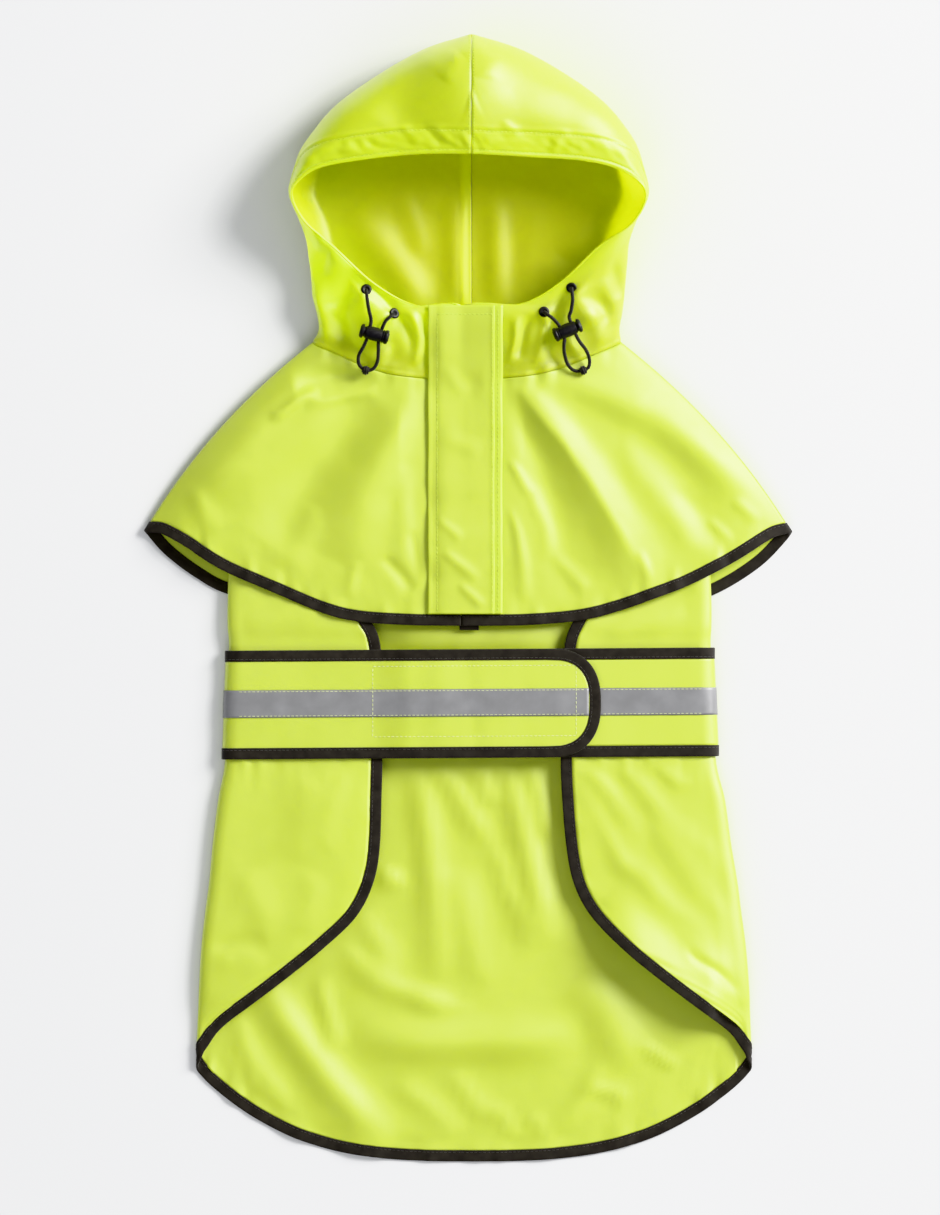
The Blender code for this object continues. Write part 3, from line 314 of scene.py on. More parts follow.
CORD_ROUTES = {
    "left": [(-77.6, 228.6, 33.8), (-77.2, 224.9, 35.4), (-76.6, 219.5, 35.0), (-75.4, 212.5, 33.2),
             (-74.1, 206.5, 31.6), (-74.6, 201.9, 31.0), (-75.9, 196.9, 31.0), (-77.3, 191.8, 31.0),
             (-79.8, 186.2, 29.4), (-83.2, 179.8, 26.0), (-82.9, 173.4, 24.0), (-78.1, 169.1, 23.6),
             (-72.4, 170.4, 23.6), (-69.4, 175.8, 24.8), (-68.7, 183.0, 28.8), (-68.6, 189.5, 31.0),
             (-67.2, 194.5, 31.0), (-65.9, 199.6, 31.0), (-63.4, 205.0, 32.2), (-60.2, 208.2, 32.9),
             (-57.1, 211.0, 31.4)],
    "right": [(73.8, 229.9, 34.0), (74.1, 226.2, 35.6), (74.5, 220.5, 35.3), (73.4, 213.0, 33.8),
              (72.0, 208.6, 32.3), (72.9, 205.0, 31.8), (74.9, 200.2, 31.8), (76.8, 195.4, 31.8),
              (79.8, 190.0, 30.2), (84.4, 184.0, 26.6), (87.0, 177.4, 23.4), (86.4, 171.6, 22.4),
              (82.5, 169.1, 22.4), (76.2, 168.8, 22.4), (71.2, 173.2, 23.2), (68.6, 181.0, 27.2),
              (68.1, 187.6, 31.0), (68.5, 192.0, 31.8), (66.5, 196.8, 31.8), (64.6, 201.6, 31.8),
              (60.9, 206.2, 32.8), (56.7, 209.5, 33.3), (53.4, 212.1, 31.8)],
}
EYELETS = [("eyelet_1", -77.6, 228.5), ("eyelet_2", -57.1, 211.0),
           ("eyelet_3", 53.4, 212.1), ("eyelet_4", 73.8, 229.9)]
LOCKS = {"left": (-71.6, 195.7, 31.0, -15.0), "right": (70.7, 198.5, 31.8, 22.0)}
KNOT_AT = {"left": 11, "right": 12}
SIDES = {-1: "left", 1: "right"}

# Sheets: flat width and length in metres, flat area in square metres, what lies right under each,
# and what is sewn on it. Sizes are those of the laid pieces opened out, with no seam allowance.
Sheet = namedtuple("Sheet", "piece width length area held rests_on sewn_on")


# ---------------------------------------------------------------- curves and grids

def curve_at(points, places):
    """Smooth curve through the rows of an array, at the given row numbers."""
    points = np.asarray(points, float)
    places = np.asarray(places, float)
    padded = np.concatenate([2 * points[:1] - points[1:2], points, 2 * points[-1:] - points[-2:-1]])
    index = np.clip(places.astype(int), 0, len(points) - 2)
    t = (places - index).reshape((-1,) + (1,) * (points.ndim - 1))
    before, start, end, after = (padded[index + k] for k in range(4))
    return 0.5 * (2 * start + (end - before) * t + (2 * before - 5 * start + 4 * end - after) * t ** 2
                  + (3 * start - before - 3 * end + after) * t ** 3)


def arc(grid, axis):
    """Length along the grid from its start to each of its points."""
    steps = np.linalg.norm(np.diff(grid, axis=axis), axis=-1)
    return np.insert(np.cumsum(steps, axis=axis), 0, 0.0, axis=axis)


def closer_at_ends(steps, start=0.5, end=0.5):
    """Fractions 0 to 1 that stand closer near the two ends, by the given shares."""
    t = np.linspace(0, 1, 401)
    density = 1 - start * np.exp(-(t / 0.12) ** 2) - end * np.exp(-((1 - t) / 0.12) ** 2)
    total = np.insert(np.cumsum((density[1:] + density[:-1]) / 2), 0, 0.0)
    return np.interp(np.linspace(0, total[-1], steps + 1), np.linspace(0, total[-1], 401),
                     total / total[-1])


def refine_rows(rows, fractions):
    """Smooth grid through a few rows, at the given fractions of their mean spacing."""
    rows = np.asarray(rows, float)
    spans = np.linalg.norm(np.diff(rows, axis=0), axis=-1).mean(axis=1)
    lengths = np.insert(np.cumsum(spans), 0, 0.0)
    return curve_at(rows, np.interp(np.asarray(fractions) * lengths[-1], lengths, np.arange(len(rows))))


def resample(curve, fractions):
    """Points at the given fractions of a curve's length."""
    lengths = arc(curve, 0)
    targets = np.asarray(fractions) * lengths[-1]
    return np.stack([np.interp(targets, lengths, curve[:, k]) for k in range(curve.shape[1])], axis=1)


def smooth_curve(points, steps=14):
    """Smooth curve through a list of points."""
    return curve_at(points, np.linspace(0, len(points) - 1, (len(points) - 1) * steps + 1))


def unit(vectors):
    return vectors / np.maximum(np.linalg.norm(vectors, axis=-1, keepdims=True), 1e-9)


def grid_normals(grid):
    return unit(np.cross(np.gradient(grid, axis=1), np.gradient(grid, axis=0)))


def smoothstep(values, low, high):
    t = np.clip((values - low) / (high - low), 0, 1)
    return t * t * (3 - 2 * t)


def lumps(x, y, size, seed):
    """Smooth random heights between -1 and 1, with lumps of the given size."""
    lattice = np.random.default_rng(seed).uniform(-1, 1, (128, 128))
    u, v = x / size + 64, y / size + 64
    i, j = np.floor(u).astype(int), np.floor(v).astype(int)
    s, t = u - i, v - j
    s, t = s * s * (3 - 2 * s), t * t * (3 - 2 * t)
    i, j = i % 127, j % 127
    low = lattice[i, j] * (1 - s) + lattice[i + 1, j] * s
    high = lattice[i, j + 1] * (1 - s) + lattice[i + 1, j + 1] * s
    return low * (1 - t) + high * t


def crease_height(creases, x, y):
    """Height that a table of creases adds at places in plan."""
    total = np.zeros_like(x)
    for crease in creases:
        run_x, run_y = crease.x1 - crease.x0, crease.y1 - crease.y0
        length = math.hypot(run_x, run_y)
        along = np.clip(((x - crease.x0) * run_x + (y - crease.y0) * run_y) / length ** 2, 0, 1)
        across = ((y - crease.y0) * run_x - (x - crease.x0) * run_y) / length
        across = across - crease.bow * 4 * along * (1 - along)
        width = crease.start + (crease.end - crease.start) * along
        taper = (1 - (2 * along - 1) ** 4) ** 1.5
        total += crease.height * taper * np.exp(-(across / width) ** 2)
    return total


def wander(x, y, seed):
    """Places pushed about a little, so that creases run unevenly."""
    return x + 3.0 * lumps(x, y, 24, seed), y + 3.0 * lumps(x, y, 24, seed + 1)


def soft_surface(creases, x, y, seed):
    """Creases and slight unevenness of hand-sewn cloth."""
    away_x, away_y = wander(x, y, seed)
    return (crease_height(creases, away_x, away_y) + 0.55 * lumps(x, y, 38, seed + 2)
            + 0.16 * lumps(x, y, 15, seed + 3) + 0.04 * lumps(x, y, 6, seed + 4))


def puckers(along, away, size, reach, height, seed):
    """Small ripples square to a seam, which die away from it."""
    return height * lumps(along, away * 0.3, size, seed) * np.exp(-away / reach)


def neck_puckers(x, away):
    """Ripples on both sides of the neck seam, the same at the seam itself."""
    return puckers(x, away, 8, 9, 1.2, 14)


def to_frame(points):
    """Places in the coat's frame, in metres, of points of the tables."""
    return (np.asarray(points, float) - BOX_MIDDLE) * MM


# ---------------------------------------------------------------- materials

SOCKETS = {"colour": "Base Color", "rough": "Roughness", "sheen": "Sheen Weight",
           "sheen_rough": "Sheen Roughness", "gloss": "Specular IOR Level", "metal": "Metallic",
           "sheen_tint": "Sheen Tint", "coat": "Coat Weight", "coat_rough": "Coat Roughness",
           "coat_ior": "Coat IOR", "glow": "Subsurface Weight", "glow_reach": "Subsurface Radius",
           "glow_size": "Subsurface Scale"}


class Look:
    """A procedural material, built up node by node."""

    def __init__(self, name, **values):
        self.material = bpy.data.materials.new(name)
        self.material.use_nodes = True
        self.tree = self.material.node_tree
        self.shader = self.tree.nodes["Principled BSDF"]
        self.height = None
        for key, value in values.items():
            self.shader.inputs[SOCKETS[key]].default_value = value
        self.material.diffuse_color = (*values["colour"][:3], 1)

    def node(self, kind, links=(), **values):
        """Adds a node; links pairs each input's name or number with an output."""
        node = self.tree.nodes.new("ShaderNode" + kind)
        for key, value in values.items():
            if key in node.inputs:
                node.inputs[key].default_value = value
            else:
                setattr(node, key, value)
        for target, source in links:
            self.tree.links.new(source, node.inputs[target])
        return node

    def places(self, uv=False, scale=(1, 1, 1), turn=0.0):
        source = self.node("UVMap", uv_map="cloth").outputs[0] if uv else \
            self.node("TexCoord").outputs["Object"]
        mapping = self.node("Mapping", [("Vector", source)])
        mapping.inputs["Scale"].default_value = scale
        mapping.inputs["Rotation"].default_value = (0, 0, turn)
        return mapping.outputs[0]

    def noise(self, places, scale, detail=3.0, rough=0.5):
        return self.node("TexNoise", [("Vector", places)], Scale=scale, Detail=detail,
                         Roughness=rough).outputs["Fac"]

    def ramp(self, source, low, high, to_low, to_high):
        """Value stretched from one range to another."""
        node = self.node("MapRange", [("Value", source)])
        for name, value in zip(("From Min", "From Max", "To Min", "To Max"), (low, high, to_low, to_high)):
            node.inputs[name].default_value = value
        return node.outputs[0]

    def mix(self, factor, first, second):
        node = self.node("Mix", data_type="RGBA")
        self.tree.links.new(factor, node.inputs[0])
        node.inputs[6].default_value = (*first, 1)
        node.inputs[7].default_value = (*second, 1)
        return node.outputs[2]

    def weave(self, places, pitch):
        """Over-and-under threads with the given pitch in millimetres."""
        scale = 2 * math.pi / (20 * pitch * MM)
        waves = [self.node("TexWave", [("Vector", places)], Scale=scale, bands_direction=way).outputs["Fac"]
                 for way in "XY"]
        return self.node("Math", [(0, waves[0]), (1, waves[1])], operation="MULTIPLY").outputs[0]

    def bump(self, height, strength, distance):
        links = [("Height", height)] + ([("Normal", self.height)] if self.height else [])
        node = self.node("Bump", links, Strength=strength, Distance=distance * MM)
        self.height = node.outputs[0]
        self.tree.links.new(self.height, self.shader.inputs["Normal"])

    def set(self, key, output):
        self.tree.links.new(output, self.shader.inputs[SOCKETS[key]])


def cloth_look(name, glow, dark=(0.57, 0.71, 0.035), light=(0.61, 0.755, 0.05), coat=1.0):
    """Coated lime cloth; glow is the share of light that passes into it."""
    look = Look(name, colour=(0.68, 0.78, 0.0, 1), rough=0.5, sheen=0.1, sheen_rough=0.35,
                sheen_tint=(1.0, 1.0, 0.75, 1), gloss=0.7, coat=coat, coat_rough=0.5, coat_ior=2.0,
                glow=glow, glow_reach=(1.0, 1.0, 0.02), glow_size=6 * MM)
    soft = look.noise(look.places(), 14, detail=4)
    look.set("colour", look.mix(look.ramp(soft, 0.3, 0.7, 0, 1), dark, light))
    fine = look.noise(look.places(), 90, detail=5)
    look.set("rough", look.ramp(fine, 0.25, 0.75, 0.44, 0.58))
    look.bump(look.noise(look.places(), 120, detail=4), 0.35, 0.25)
    look.bump(look.weave(look.places(uv=True), 0.5), 0.25, 0.05)
    return look.material


def binding_look():
    look = Look("woven_binding", colour=(0.024, 0.021, 0.018, 1), rough=0.75, sheen=0.25,
                sheen_rough=0.5, gloss=0.3)
    fine = look.noise(look.places(), 160, detail=4)
    look.set("colour", look.mix(look.ramp(fine, 0.3, 0.7, 0, 1),
                                (0.018, 0.0155, 0.013), (0.034, 0.030, 0.025)))
    look.set("rough", look.ramp(fine, 0.3, 0.7, 0.66, 0.84))
    look.bump(look.weave(look.places(uv=True), 0.55), 0.6, 0.12)
    return look.material


def tape_look():
    look = Look("reflective_tape", colour=(0.27, 0.27, 0.28, 1), rough=0.42, metal=0.2, gloss=0.5)
    soft = look.noise(look.places(), 60, detail=5)
    look.set("colour", look.mix(look.ramp(soft, 0.3, 0.7, 0, 1), (0.245, 0.245, 0.252), (0.29, 0.29, 0.30)))
    look.set("rough", look.ramp(soft, 0.3, 0.7, 0.36, 0.5))
    look.bump(look.weave(look.places(uv=True, turn=math.pi / 4), 0.8), 0.3, 0.06)
    return look.material


def plastic_look():
    look = Look("moulded_plastic", colour=(0.018, 0.017, 0.019, 1), rough=0.36, gloss=0.5)
    grain = look.noise(look.places(), 700, detail=3)
    look.set("colour", look.mix(look.ramp(grain, 0.3, 0.7, 0, 1),
                                (0.014, 0.013, 0.015), (0.026, 0.025, 0.028)))
    look.set("rough", look.ramp(grain, 0.3, 0.7, 0.44, 0.58))
    look.bump(grain, 0.2, 0.05)
    return look.material


def cord_look():
    look = Look("braided_cord", colour=(0.020, 0.018, 0.018, 1), rough=0.7, sheen=0.2, gloss=0.35)
    fine = look.noise(look.places(), 500, detail=4)
    look.set("colour", look.mix(look.ramp(fine, 0.3, 0.7, 0, 1),
                                (0.014, 0.0125, 0.0125), (0.034, 0.031, 0.030)))
    look.set("rough", look.ramp(fine, 0.3, 0.7, 0.6, 0.8))
    look.bump(fine, 0.3, 0.06)
    return look.material


def thread_look(name, dark, light):
    look = Look(name, colour=(*dark, 1), rough=0.55, sheen=0.2, gloss=0.4)
    fine = look.noise(look.places(), 400, detail=2)
    look.set("colour", look.mix(look.ramp(fine, 0.35, 0.65, 0, 1), dark, light))
    look.bump(look.noise(look.places(), 1500, detail=2), 0.3, 0.04)
    return look.material


def floor_look():
    look = Look("pale_floor", colour=(0.86, 0.86, 0.87, 1), rough=0.8, gloss=0.2)
    soft = look.noise(look.places(), 3, detail=2)
    look.set("colour", look.mix(soft, (0.715, 0.715, 0.725), (0.735, 0.735, 0.74)))
    look.set("rough", look.ramp(soft, 0.3, 0.7, 0.75, 0.85))
    return look.material


LOOKS = {
    "cloth": cloth_look("coated_cloth", 0.35), "hood_cloth": cloth_look("hood_cloth", 1.0),
    # Inside of the hood: a lighter colour, painted light on the shade under the brim, with less coat for the
    # cloth's uncoated back
    "inside_painted_light": cloth_look("hood_inside_painted_light", 1.0, (0.70, 0.86, 0.02), (0.74, 0.90, 0.03), coat=0.35),
    "binding": binding_look(), "reflective": tape_look(),
    "plastic": plastic_look(), "cord": cord_look(), "floor": floor_look(),
    "lime_thread": thread_look("lime_thread", (0.42, 0.56, 0.03), (0.66, 0.80, 0.14)),
    "pale_thread": thread_look("pale_thread", (0.60, 0.66, 0.30), (0.78, 0.84, 0.45)),
    "black_thread": thread_look("black_thread", (0.030, 0.028, 0.025), (0.075, 0.070, 0.062)),
}


# ---------------------------------------------------------------- pieces

def add_piece(name, points, faces, look, nodes=(), uv=None, flip=False, tidy=False):
    """Object in the coat's frame from points in millimetres, riding on the coat's one body."""
    mesh = bpy.data.meshes.new(name)
    faces = faces[:, ::-1] if flip else faces
    mesh.from_pydata(to_frame(points).tolist(), [], [list(map(int, face)) for face in faces]
                     if isinstance(faces, list) else faces.tolist())
    if tidy:
        solid = bmesh.new()
        solid.from_mesh(mesh)
        bmesh.ops.recalc_face_normals(solid, faces=solid.faces)
        solid.to_mesh(mesh)
        solid.free()
    mesh.shade_smooth()
    if uv is not None:
        corners = np.empty(len(mesh.loops), dtype=np.int32)
        mesh.loops.foreach_get("vertex_index", corners)
        layer = mesh.uv_layers.new(name="cloth")
        layer.data.foreach_set("uv", (uv[corners] * MM).ravel())
    mesh.materials.append(LOOKS[look])
    piece = bpy.data.objects.new(name, mesh)
    bpy.context.scene.collection.objects.link(piece)
    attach(piece, "root")
    if nodes:
        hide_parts(*nodes)
    return piece


def grid_faces(rows, columns, closed=False):
    """Quads of a grid of points; closed joins its last column to its first."""
    i, j = np.meshgrid(np.arange(rows - 1), np.arange(columns if closed else columns - 1), indexing="ij")
    k = (j + 1) % columns
    return np.stack([i * columns + j, i * columns + k, (i + 1) * columns + k, (i + 1) * columns + j],
                    axis=-1).reshape(-1, 4)


def rim_of(rows, columns):
    """Numbers of a grid's boundary points, in order."""
    index = np.arange(rows * columns).reshape(rows, columns)
    return np.concatenate([index[0, :-1], index[:-1, -1], index[-1, :0:-1], index[:0:-1, 0]])


Cloth = namedtuple("Cloth", "piece upper lower normals")


def shell(name, grid, up_at, look="cloth", nodes=(), thickness=SHELL, top=0.0, under=0.0,
          normals=None):
    """Closed thin sheet about a grid; its upper side faces up at the row and column up_at."""
    winding = grid_normals(grid)
    flip = winding[up_at][2] < 0
    normals = winding if normals is None else normals
    if normals[up_at][2] < 0:
        normals = -normals
    upper = grid + normals * (thickness / 2 + np.asarray(top))[..., None]
    lower = grid - normals * (thickness / 2 + np.asarray(under))[..., None]
    for layer in (upper, lower):
        layer[..., 2] = np.maximum(layer[..., 2], LOWEST)
    rows, columns = grid.shape[:2]
    faces = grid_faces(rows, columns)
    count = rows * columns
    rim = rim_of(rows, columns)
    following = np.roll(rim, -1)
    sides = np.stack([rim, rim + count, following + count, following], axis=1)
    points = np.concatenate([upper.reshape(-1, 3), lower.reshape(-1, 3)])
    uv = np.stack([arc(grid, 1).ravel(), arc(grid, 0).ravel()], axis=1)
    piece = add_piece(name, points, np.concatenate([faces, faces[:, ::-1] + count, sides]), look,
                      nodes, np.concatenate([uv, uv]), flip)
    return Cloth(piece, upper, lower, normals)


def surface_tree(grid):
    """Search tree of a grid's surface."""
    rows, columns = grid.shape[:2]
    return BVHTree.FromPolygons(grid.reshape(-1, 3).tolist(), grid_faces(rows, columns).tolist())


def top_at(trees, x, y):
    """Highest point and upward normal of the surfaces at a place in plan."""
    best = None
    for tree in trees:
        place, normal, _, _ = tree.ray_cast(Vector((x, y, 200)), Vector((0, 0, -1)))
        if place and (best is None or place.z > best[0].z):
            best = (place, normal if normal.z > 0 else -normal)
    return best


def laid_line(trees, points):
    """Dense path over the surfaces, and its normals, along a line given in plan."""
    line = smooth_curve(np.asarray(points, float), 24) if len(points) > 2 else np.asarray(points, float)
    count = max(2, int(arc(line, 0)[-1] / LINE_STEP))
    hits = [top_at(trees, x, y) for x, y in resample(line, np.linspace(0, 1, count))]
    hits = [hit for hit in hits if hit]
    return np.array([hit[0] for hit in hits]), np.array([hit[1] for hit in hits])


def inset_line(cloth, axis, end, distance, under=False, rows=None):
    """Path at a distance from one edge of a cloth, and its normals."""
    grid, normals = (cloth.lower, -cloth.normals) if under else (cloth.upper, cloth.normals)
    if axis == 0:
        grid, normals = grid.swapaxes(0, 1), normals.swapaxes(0, 1)
    if end:
        grid, normals = grid[:, ::-1], normals[:, ::-1]
    grid, normals = (grid, normals) if rows is None else (grid[rows], normals[rows])
    lengths = arc(grid, 1)
    points, facing = ([[np.interp(distance, length, line[:, k]) for k in range(3)]
                       for length, line in zip(lengths, lines)] for lines in (grid, normals))
    return np.array(points), unit(np.array(facing))


def stitches(name, runs, look, pitch=3.2, length=2.3, radius=0.24):
    """Rows of stitches, as one joined piece; a run is a path and its normals."""
    points, faces = [], []
    profile = np.array([(1, 0), (0, 0.9), (-1, 0), (0, -0.5)])
    shares, sizes = np.array([0, 0.22, 0.78, 1]), np.array([0.45, 1, 1, 0.45])
    for path, normals in runs:
        lengths = arc(path, 0)
        starts = np.arange(0.2, lengths[-1] - length, pitch)
        if not len(starts):
            continue
        places = starts[:, None] + shares * length
        centre = np.stack([np.interp(places, lengths, path[:, k]) for k in range(3)], axis=-1)
        facing = unit(np.stack([np.interp(places, lengths, normals[:, k]) for k in range(3)], axis=-1))
        along = unit(np.gradient(centre, axis=1))
        sideways = unit(np.cross(facing, along))
        centre = centre + facing * (radius * (sizes[:, None] - 0.55))
        ring = (centre[:, :, None]
                + sideways[:, :, None] * (profile[:, 0] * radius)[:, None] * sizes[:, None, None]
                + facing[:, :, None] * (profile[:, 1] * radius)[:, None] * sizes[:, None, None])
        ring[..., 2] = np.maximum(ring[..., 2], LOWEST)
        base = sum(len(p) for p in points) + np.arange(len(starts))[:, None, None] * 16
        faces.append((base + grid_faces(4, 4, closed=True)[None]).reshape(-1, 4))
        caps = np.array([(3, 2, 1, 0), (12, 13, 14, 15)])
        faces.append((base + caps[None]).reshape(-1, 4))
        points.append(ring.reshape(-1, 3))
    return add_piece(name, np.concatenate(points), np.concatenate(faces), look)


def path_frames(path):
    """Directions square to a path at each point, without twist."""
    along = unit(np.gradient(path, axis=0))
    side = unit(np.cross(along[0], (0.2, 0.3, 1.0)))
    first, second = [], []
    for way in along:
        side = unit(side - way * np.dot(side, way))
        first.append(side)
        second.append(np.cross(way, side))
    return np.array(first), np.array(second)


def tube(path, radius, sides):
    """Points and faces of a closed round tube; radius is one number or one for each point."""
    first, second = path_frames(path)
    angles = 2 * np.pi * np.arange(sides) / sides
    radius = np.broadcast_to(np.asarray(radius, float), (len(path), sides)) if np.ndim(radius) != 1 \
        else np.repeat(np.asarray(radius)[:, None], sides, axis=1)
    ring = (path[:, None] + first[:, None] * (np.cos(angles) * radius)[..., None]
            + second[:, None] * (np.sin(angles) * radius)[..., None])
    faces = grid_faces(len(path), sides, closed=True).tolist()
    last = (len(path) - 1) * sides
    return ring.reshape(-1, 3), faces + [list(range(sides))[::-1], [last + k for k in range(sides)]]


# ---------------------------------------------------------------- camera

def add_camera():
    data = bpy.data.cameras.new("camera")
    data.sensor_width = SENSOR
    data.lens = SENSOR * CAMERA_HEIGHT / VIEW_LENGTH
    data.clip_end = 100
    camera = bpy.data.objects.new("camera", data)
    camera.location = to_frame((*VIEW_MIDDLE, CAMERA_HEIGHT))
    bpy.context.scene.collection.objects.link(camera)
    bpy.context.scene.camera = camera
    bpy.context.view_layer.update()


# ---------------------------------------------------------------- drawstrings

def build_cord(side):
    """Braided cord along its route, with its lock and knot."""
    path = smooth_curve(np.array(CORD_ROUTES[side]), 30)
    count = int(arc(path, 0)[-1] / 0.38)
    path = resample(path, np.linspace(0, 1, count + 1))
    lengths = arc(path, 0)
    sides = 24
    angles = 2 * np.pi * np.arange(sides) / sides
    turns = 2 * np.pi * lengths[:, None] / 7.5
    over = np.maximum(np.sin(4 * (angles + turns)), np.sin(4 * (angles - turns)))
    points, faces = tube(path, CORD / 2 - 0.14 + 0.14 * over, sides)
    cord = add_piece("cord_" + side + "_braid", points, faces, "cord", ["cord_" + side])
    lock = build_lock(side)
    knot = build_knot(side)


def build_knot(side):
    """Wound knot on the cord's loop."""
    route = np.array(CORD_ROUTES[side])
    middle = route[KNOT_AT[side]]
    axis = unit(route[KNOT_AT[side] + 1] - route[KNOT_AT[side] - 1])
    first = unit(np.cross(axis, (0, 0, 1)))
    second = np.cross(axis, first)
    t = np.linspace(0, 1, 120)
    swell = np.sin(np.pi * t) ** 0.5
    angle = 2 * np.pi * 3.2 * t
    radius = 1.45 + 1.0 * swell
    path = (middle + axis * ((t - 0.5) * 4.6)[:, None]
            + first * (np.cos(angle) * radius)[:, None] + second * (np.sin(angle) * radius)[:, None])
    points, faces = tube(path, 0.35 + 0.7 * swell, 12)
    return add_piece("cord_knot_" + side + "_wound", points, faces, "cord", ["cord_knot_" + side])


LOCK_PROFILE = [   # place along the barrel, radius
    (-11.0, 0.0), (-11.0, 3.3), (-10.7, 4.3), (-10.1, 4.9), (-9.2, 5.2), (-8.5, 5.1), (-8.2, 4.7),
    (-8.0, 3.9),
    (-7.1, 3.8), (-6.7, 4.2), (-6.3, 4.7), (-4.0, 5.0), (0.0, 5.15), (4.0, 5.05), (5.6, 4.9), (5.9, 4.5),
    (6.2, 4.5), (6.5, 4.85), (7.0, 4.9), (7.3, 4.5), (7.6, 4.5), (7.9, 4.9), (8.7, 5.2), (9.7, 5.15),
    (10.3, 4.8), (10.6, 4.1), (10.65, 3.2), (11.0, 3.0), (11.0, 0.0),
]


def build_lock(side):
    """Barrel cord lock with its two holes, ridges and end button."""
    x, y, z, angle = LOCKS[side]
    turn = math.radians(angle)
    flip = -1 if side == "right" else 1
    axis = np.array((math.cos(turn), math.sin(turn), 0.0)) * flip
    first = np.array((-axis[1], axis[0], 0.0))
    second = np.array((0.0, 0.0, 1.0))
    sides = 40
    angles = 2 * np.pi * np.arange(sides) / sides
    rings = []
    for place, radius in LOCK_PROFILE[1:-1]:
        ridge = 0.10 * np.cos(angles * 10) if abs(place) > 8.3 and radius > 4.8 else 0.0
        rings.append(np.array((x, y, z)) + axis * place + first * (np.cos(angles) * (radius + ridge))[:, None]
                     + second * (np.sin(angles) * (radius + ridge))[:, None])
    points = np.concatenate(rings)
    faces = grid_faces(len(rings), sides, closed=True).tolist()
    last = (len(rings) - 1) * sides
    faces += [list(range(sides))[::-1], [last + k for k in range(sides)]]
    lock = add_piece("cord_lock_" + side + "_barrel", points, faces, "plastic",
                     ["cord_lock_" + side], tidy=True)
    for shift in (-0.5, 0.5):
        place = np.array((x, y, z)) + axis * (shift * LOCK_PITCH)
        bpy.ops.mesh.primitive_cylinder_add(vertices=24, radius=LOCK_HOLE / 2 * MM, depth=14 * MM)
        cutter = bpy.context.object
        cutter.matrix_world = (Matrix.Translation(to_frame(place))
                               @ Vector((0, 0, 1)).rotation_difference(Vector(first)).to_matrix().to_4x4())
        cut = lock.modifiers.new("hole", "BOOLEAN")
        cut.object = cutter
        cut.solver = "EXACT"
        bpy.context.view_layer.update()
        shape = lock.evaluated_get(bpy.context.evaluated_depsgraph_get())
        mesh = bpy.data.meshes.new_from_object(shape)
        lock.modifiers.remove(cut)
        lock.data = mesh
        bpy.data.objects.remove(cutter)
    lock.data.shade_smooth()
    lock.data.set_sharp_from_angle(angle=math.radians(35))
    return lock


# ---------------------------------------------------------------- hood

TOP_COLUMNS, UNDER_COLUMNS, HOOD_LINES = 92, 60, 150
FACING, EDGE_SEAM, BRIM_HEM = 20.0, 3.4, 18.5


def hood_line(row, side):
    """One line of a hood panel: opening edge to outline, then under to the back seam."""
    if side < 0:
        edge, outline = (row.l_edge_x, row.l_edge_y), (row.l_side_x, row.l_side_y)
    else:
        edge, outline = (row.r_edge_x, row.r_edge_y), (row.r_side_x, row.r_side_y)
    edge = np.array((*edge, row.edge_z), float)
    outline = np.array((*outline, row.side_z), float)
    back = np.array((0, row.back_y, FLOOR), float)
    fullness = min(1.0, np.linalg.norm((outline - edge)[:2]) / FULL_REACH)
    rise = row.edge_z - row.side_z
    middle = (edge + outline) / 2
    middle[2] = row.side_z + rise * (0.8 + 0.2 * fullness) + PUFF * fullness
    middle[1] -= row.sag
    shoulder = edge + (outline - edge) * SHOULDER
    shoulder[2] = row.side_z + rise * (0.45 + 0.3 * fullness)
    shoulder[1] -= row.sag * 0.45
    inward = back - outline
    inward[2] = 0
    reach = np.linalg.norm(inward)
    inward = inward / reach
    heel = outline + inward * min(HEEL_IN, 0.45 * reach)
    heel[2] = FLOOR + 0.12 * (row.side_z - FLOOR)
    flat = outline + inward * min(FLAT_IN, 0.75 * reach)
    flat[2] = FLOOR
    curve = smooth_curve(np.array([edge, middle, shoulder, outline, heel, flat, back]))
    curve[:, 2] = np.maximum(curve[:, 2], FLOOR)
    at_outline = 3 * 14
    top = resample(curve[:at_outline + 1], closer_at_ends(TOP_COLUMNS, 0.6, 0.4))
    under = resample(curve[at_outline:], closer_at_ends(UNDER_COLUMNS, 0.4, 0.6))
    return np.concatenate([top, under[1:]])


def hood_grid(side):
    """Grid of a hood panel, each row from the opening's edge to the back seam."""
    grid = refine_rows([hood_line(row, side) for row in HOOD_ROWS], closer_at_ends(HOOD_LINES, 0.7, 0.7))
    top = np.arange(grid.shape[1]) <= TOP_COLUMNS
    x, y = grid[..., 0], grid[..., 1]
    grid[..., 2] += top * crease_height(HOOD_FOLDS, x, y)
    below_rim = (y < PLACKET_TOP + 0.5) & top
    seam_x = np.where(below_rim & (abs(x) < 12), SLIT_X, 0.0)
    grid[..., 0] = np.where(side * (x - seam_x) < GAP / 2, seam_x + side * GAP / 2, x)
    grid[..., 2] = np.maximum(grid[..., 2], FLOOR)
    return grid


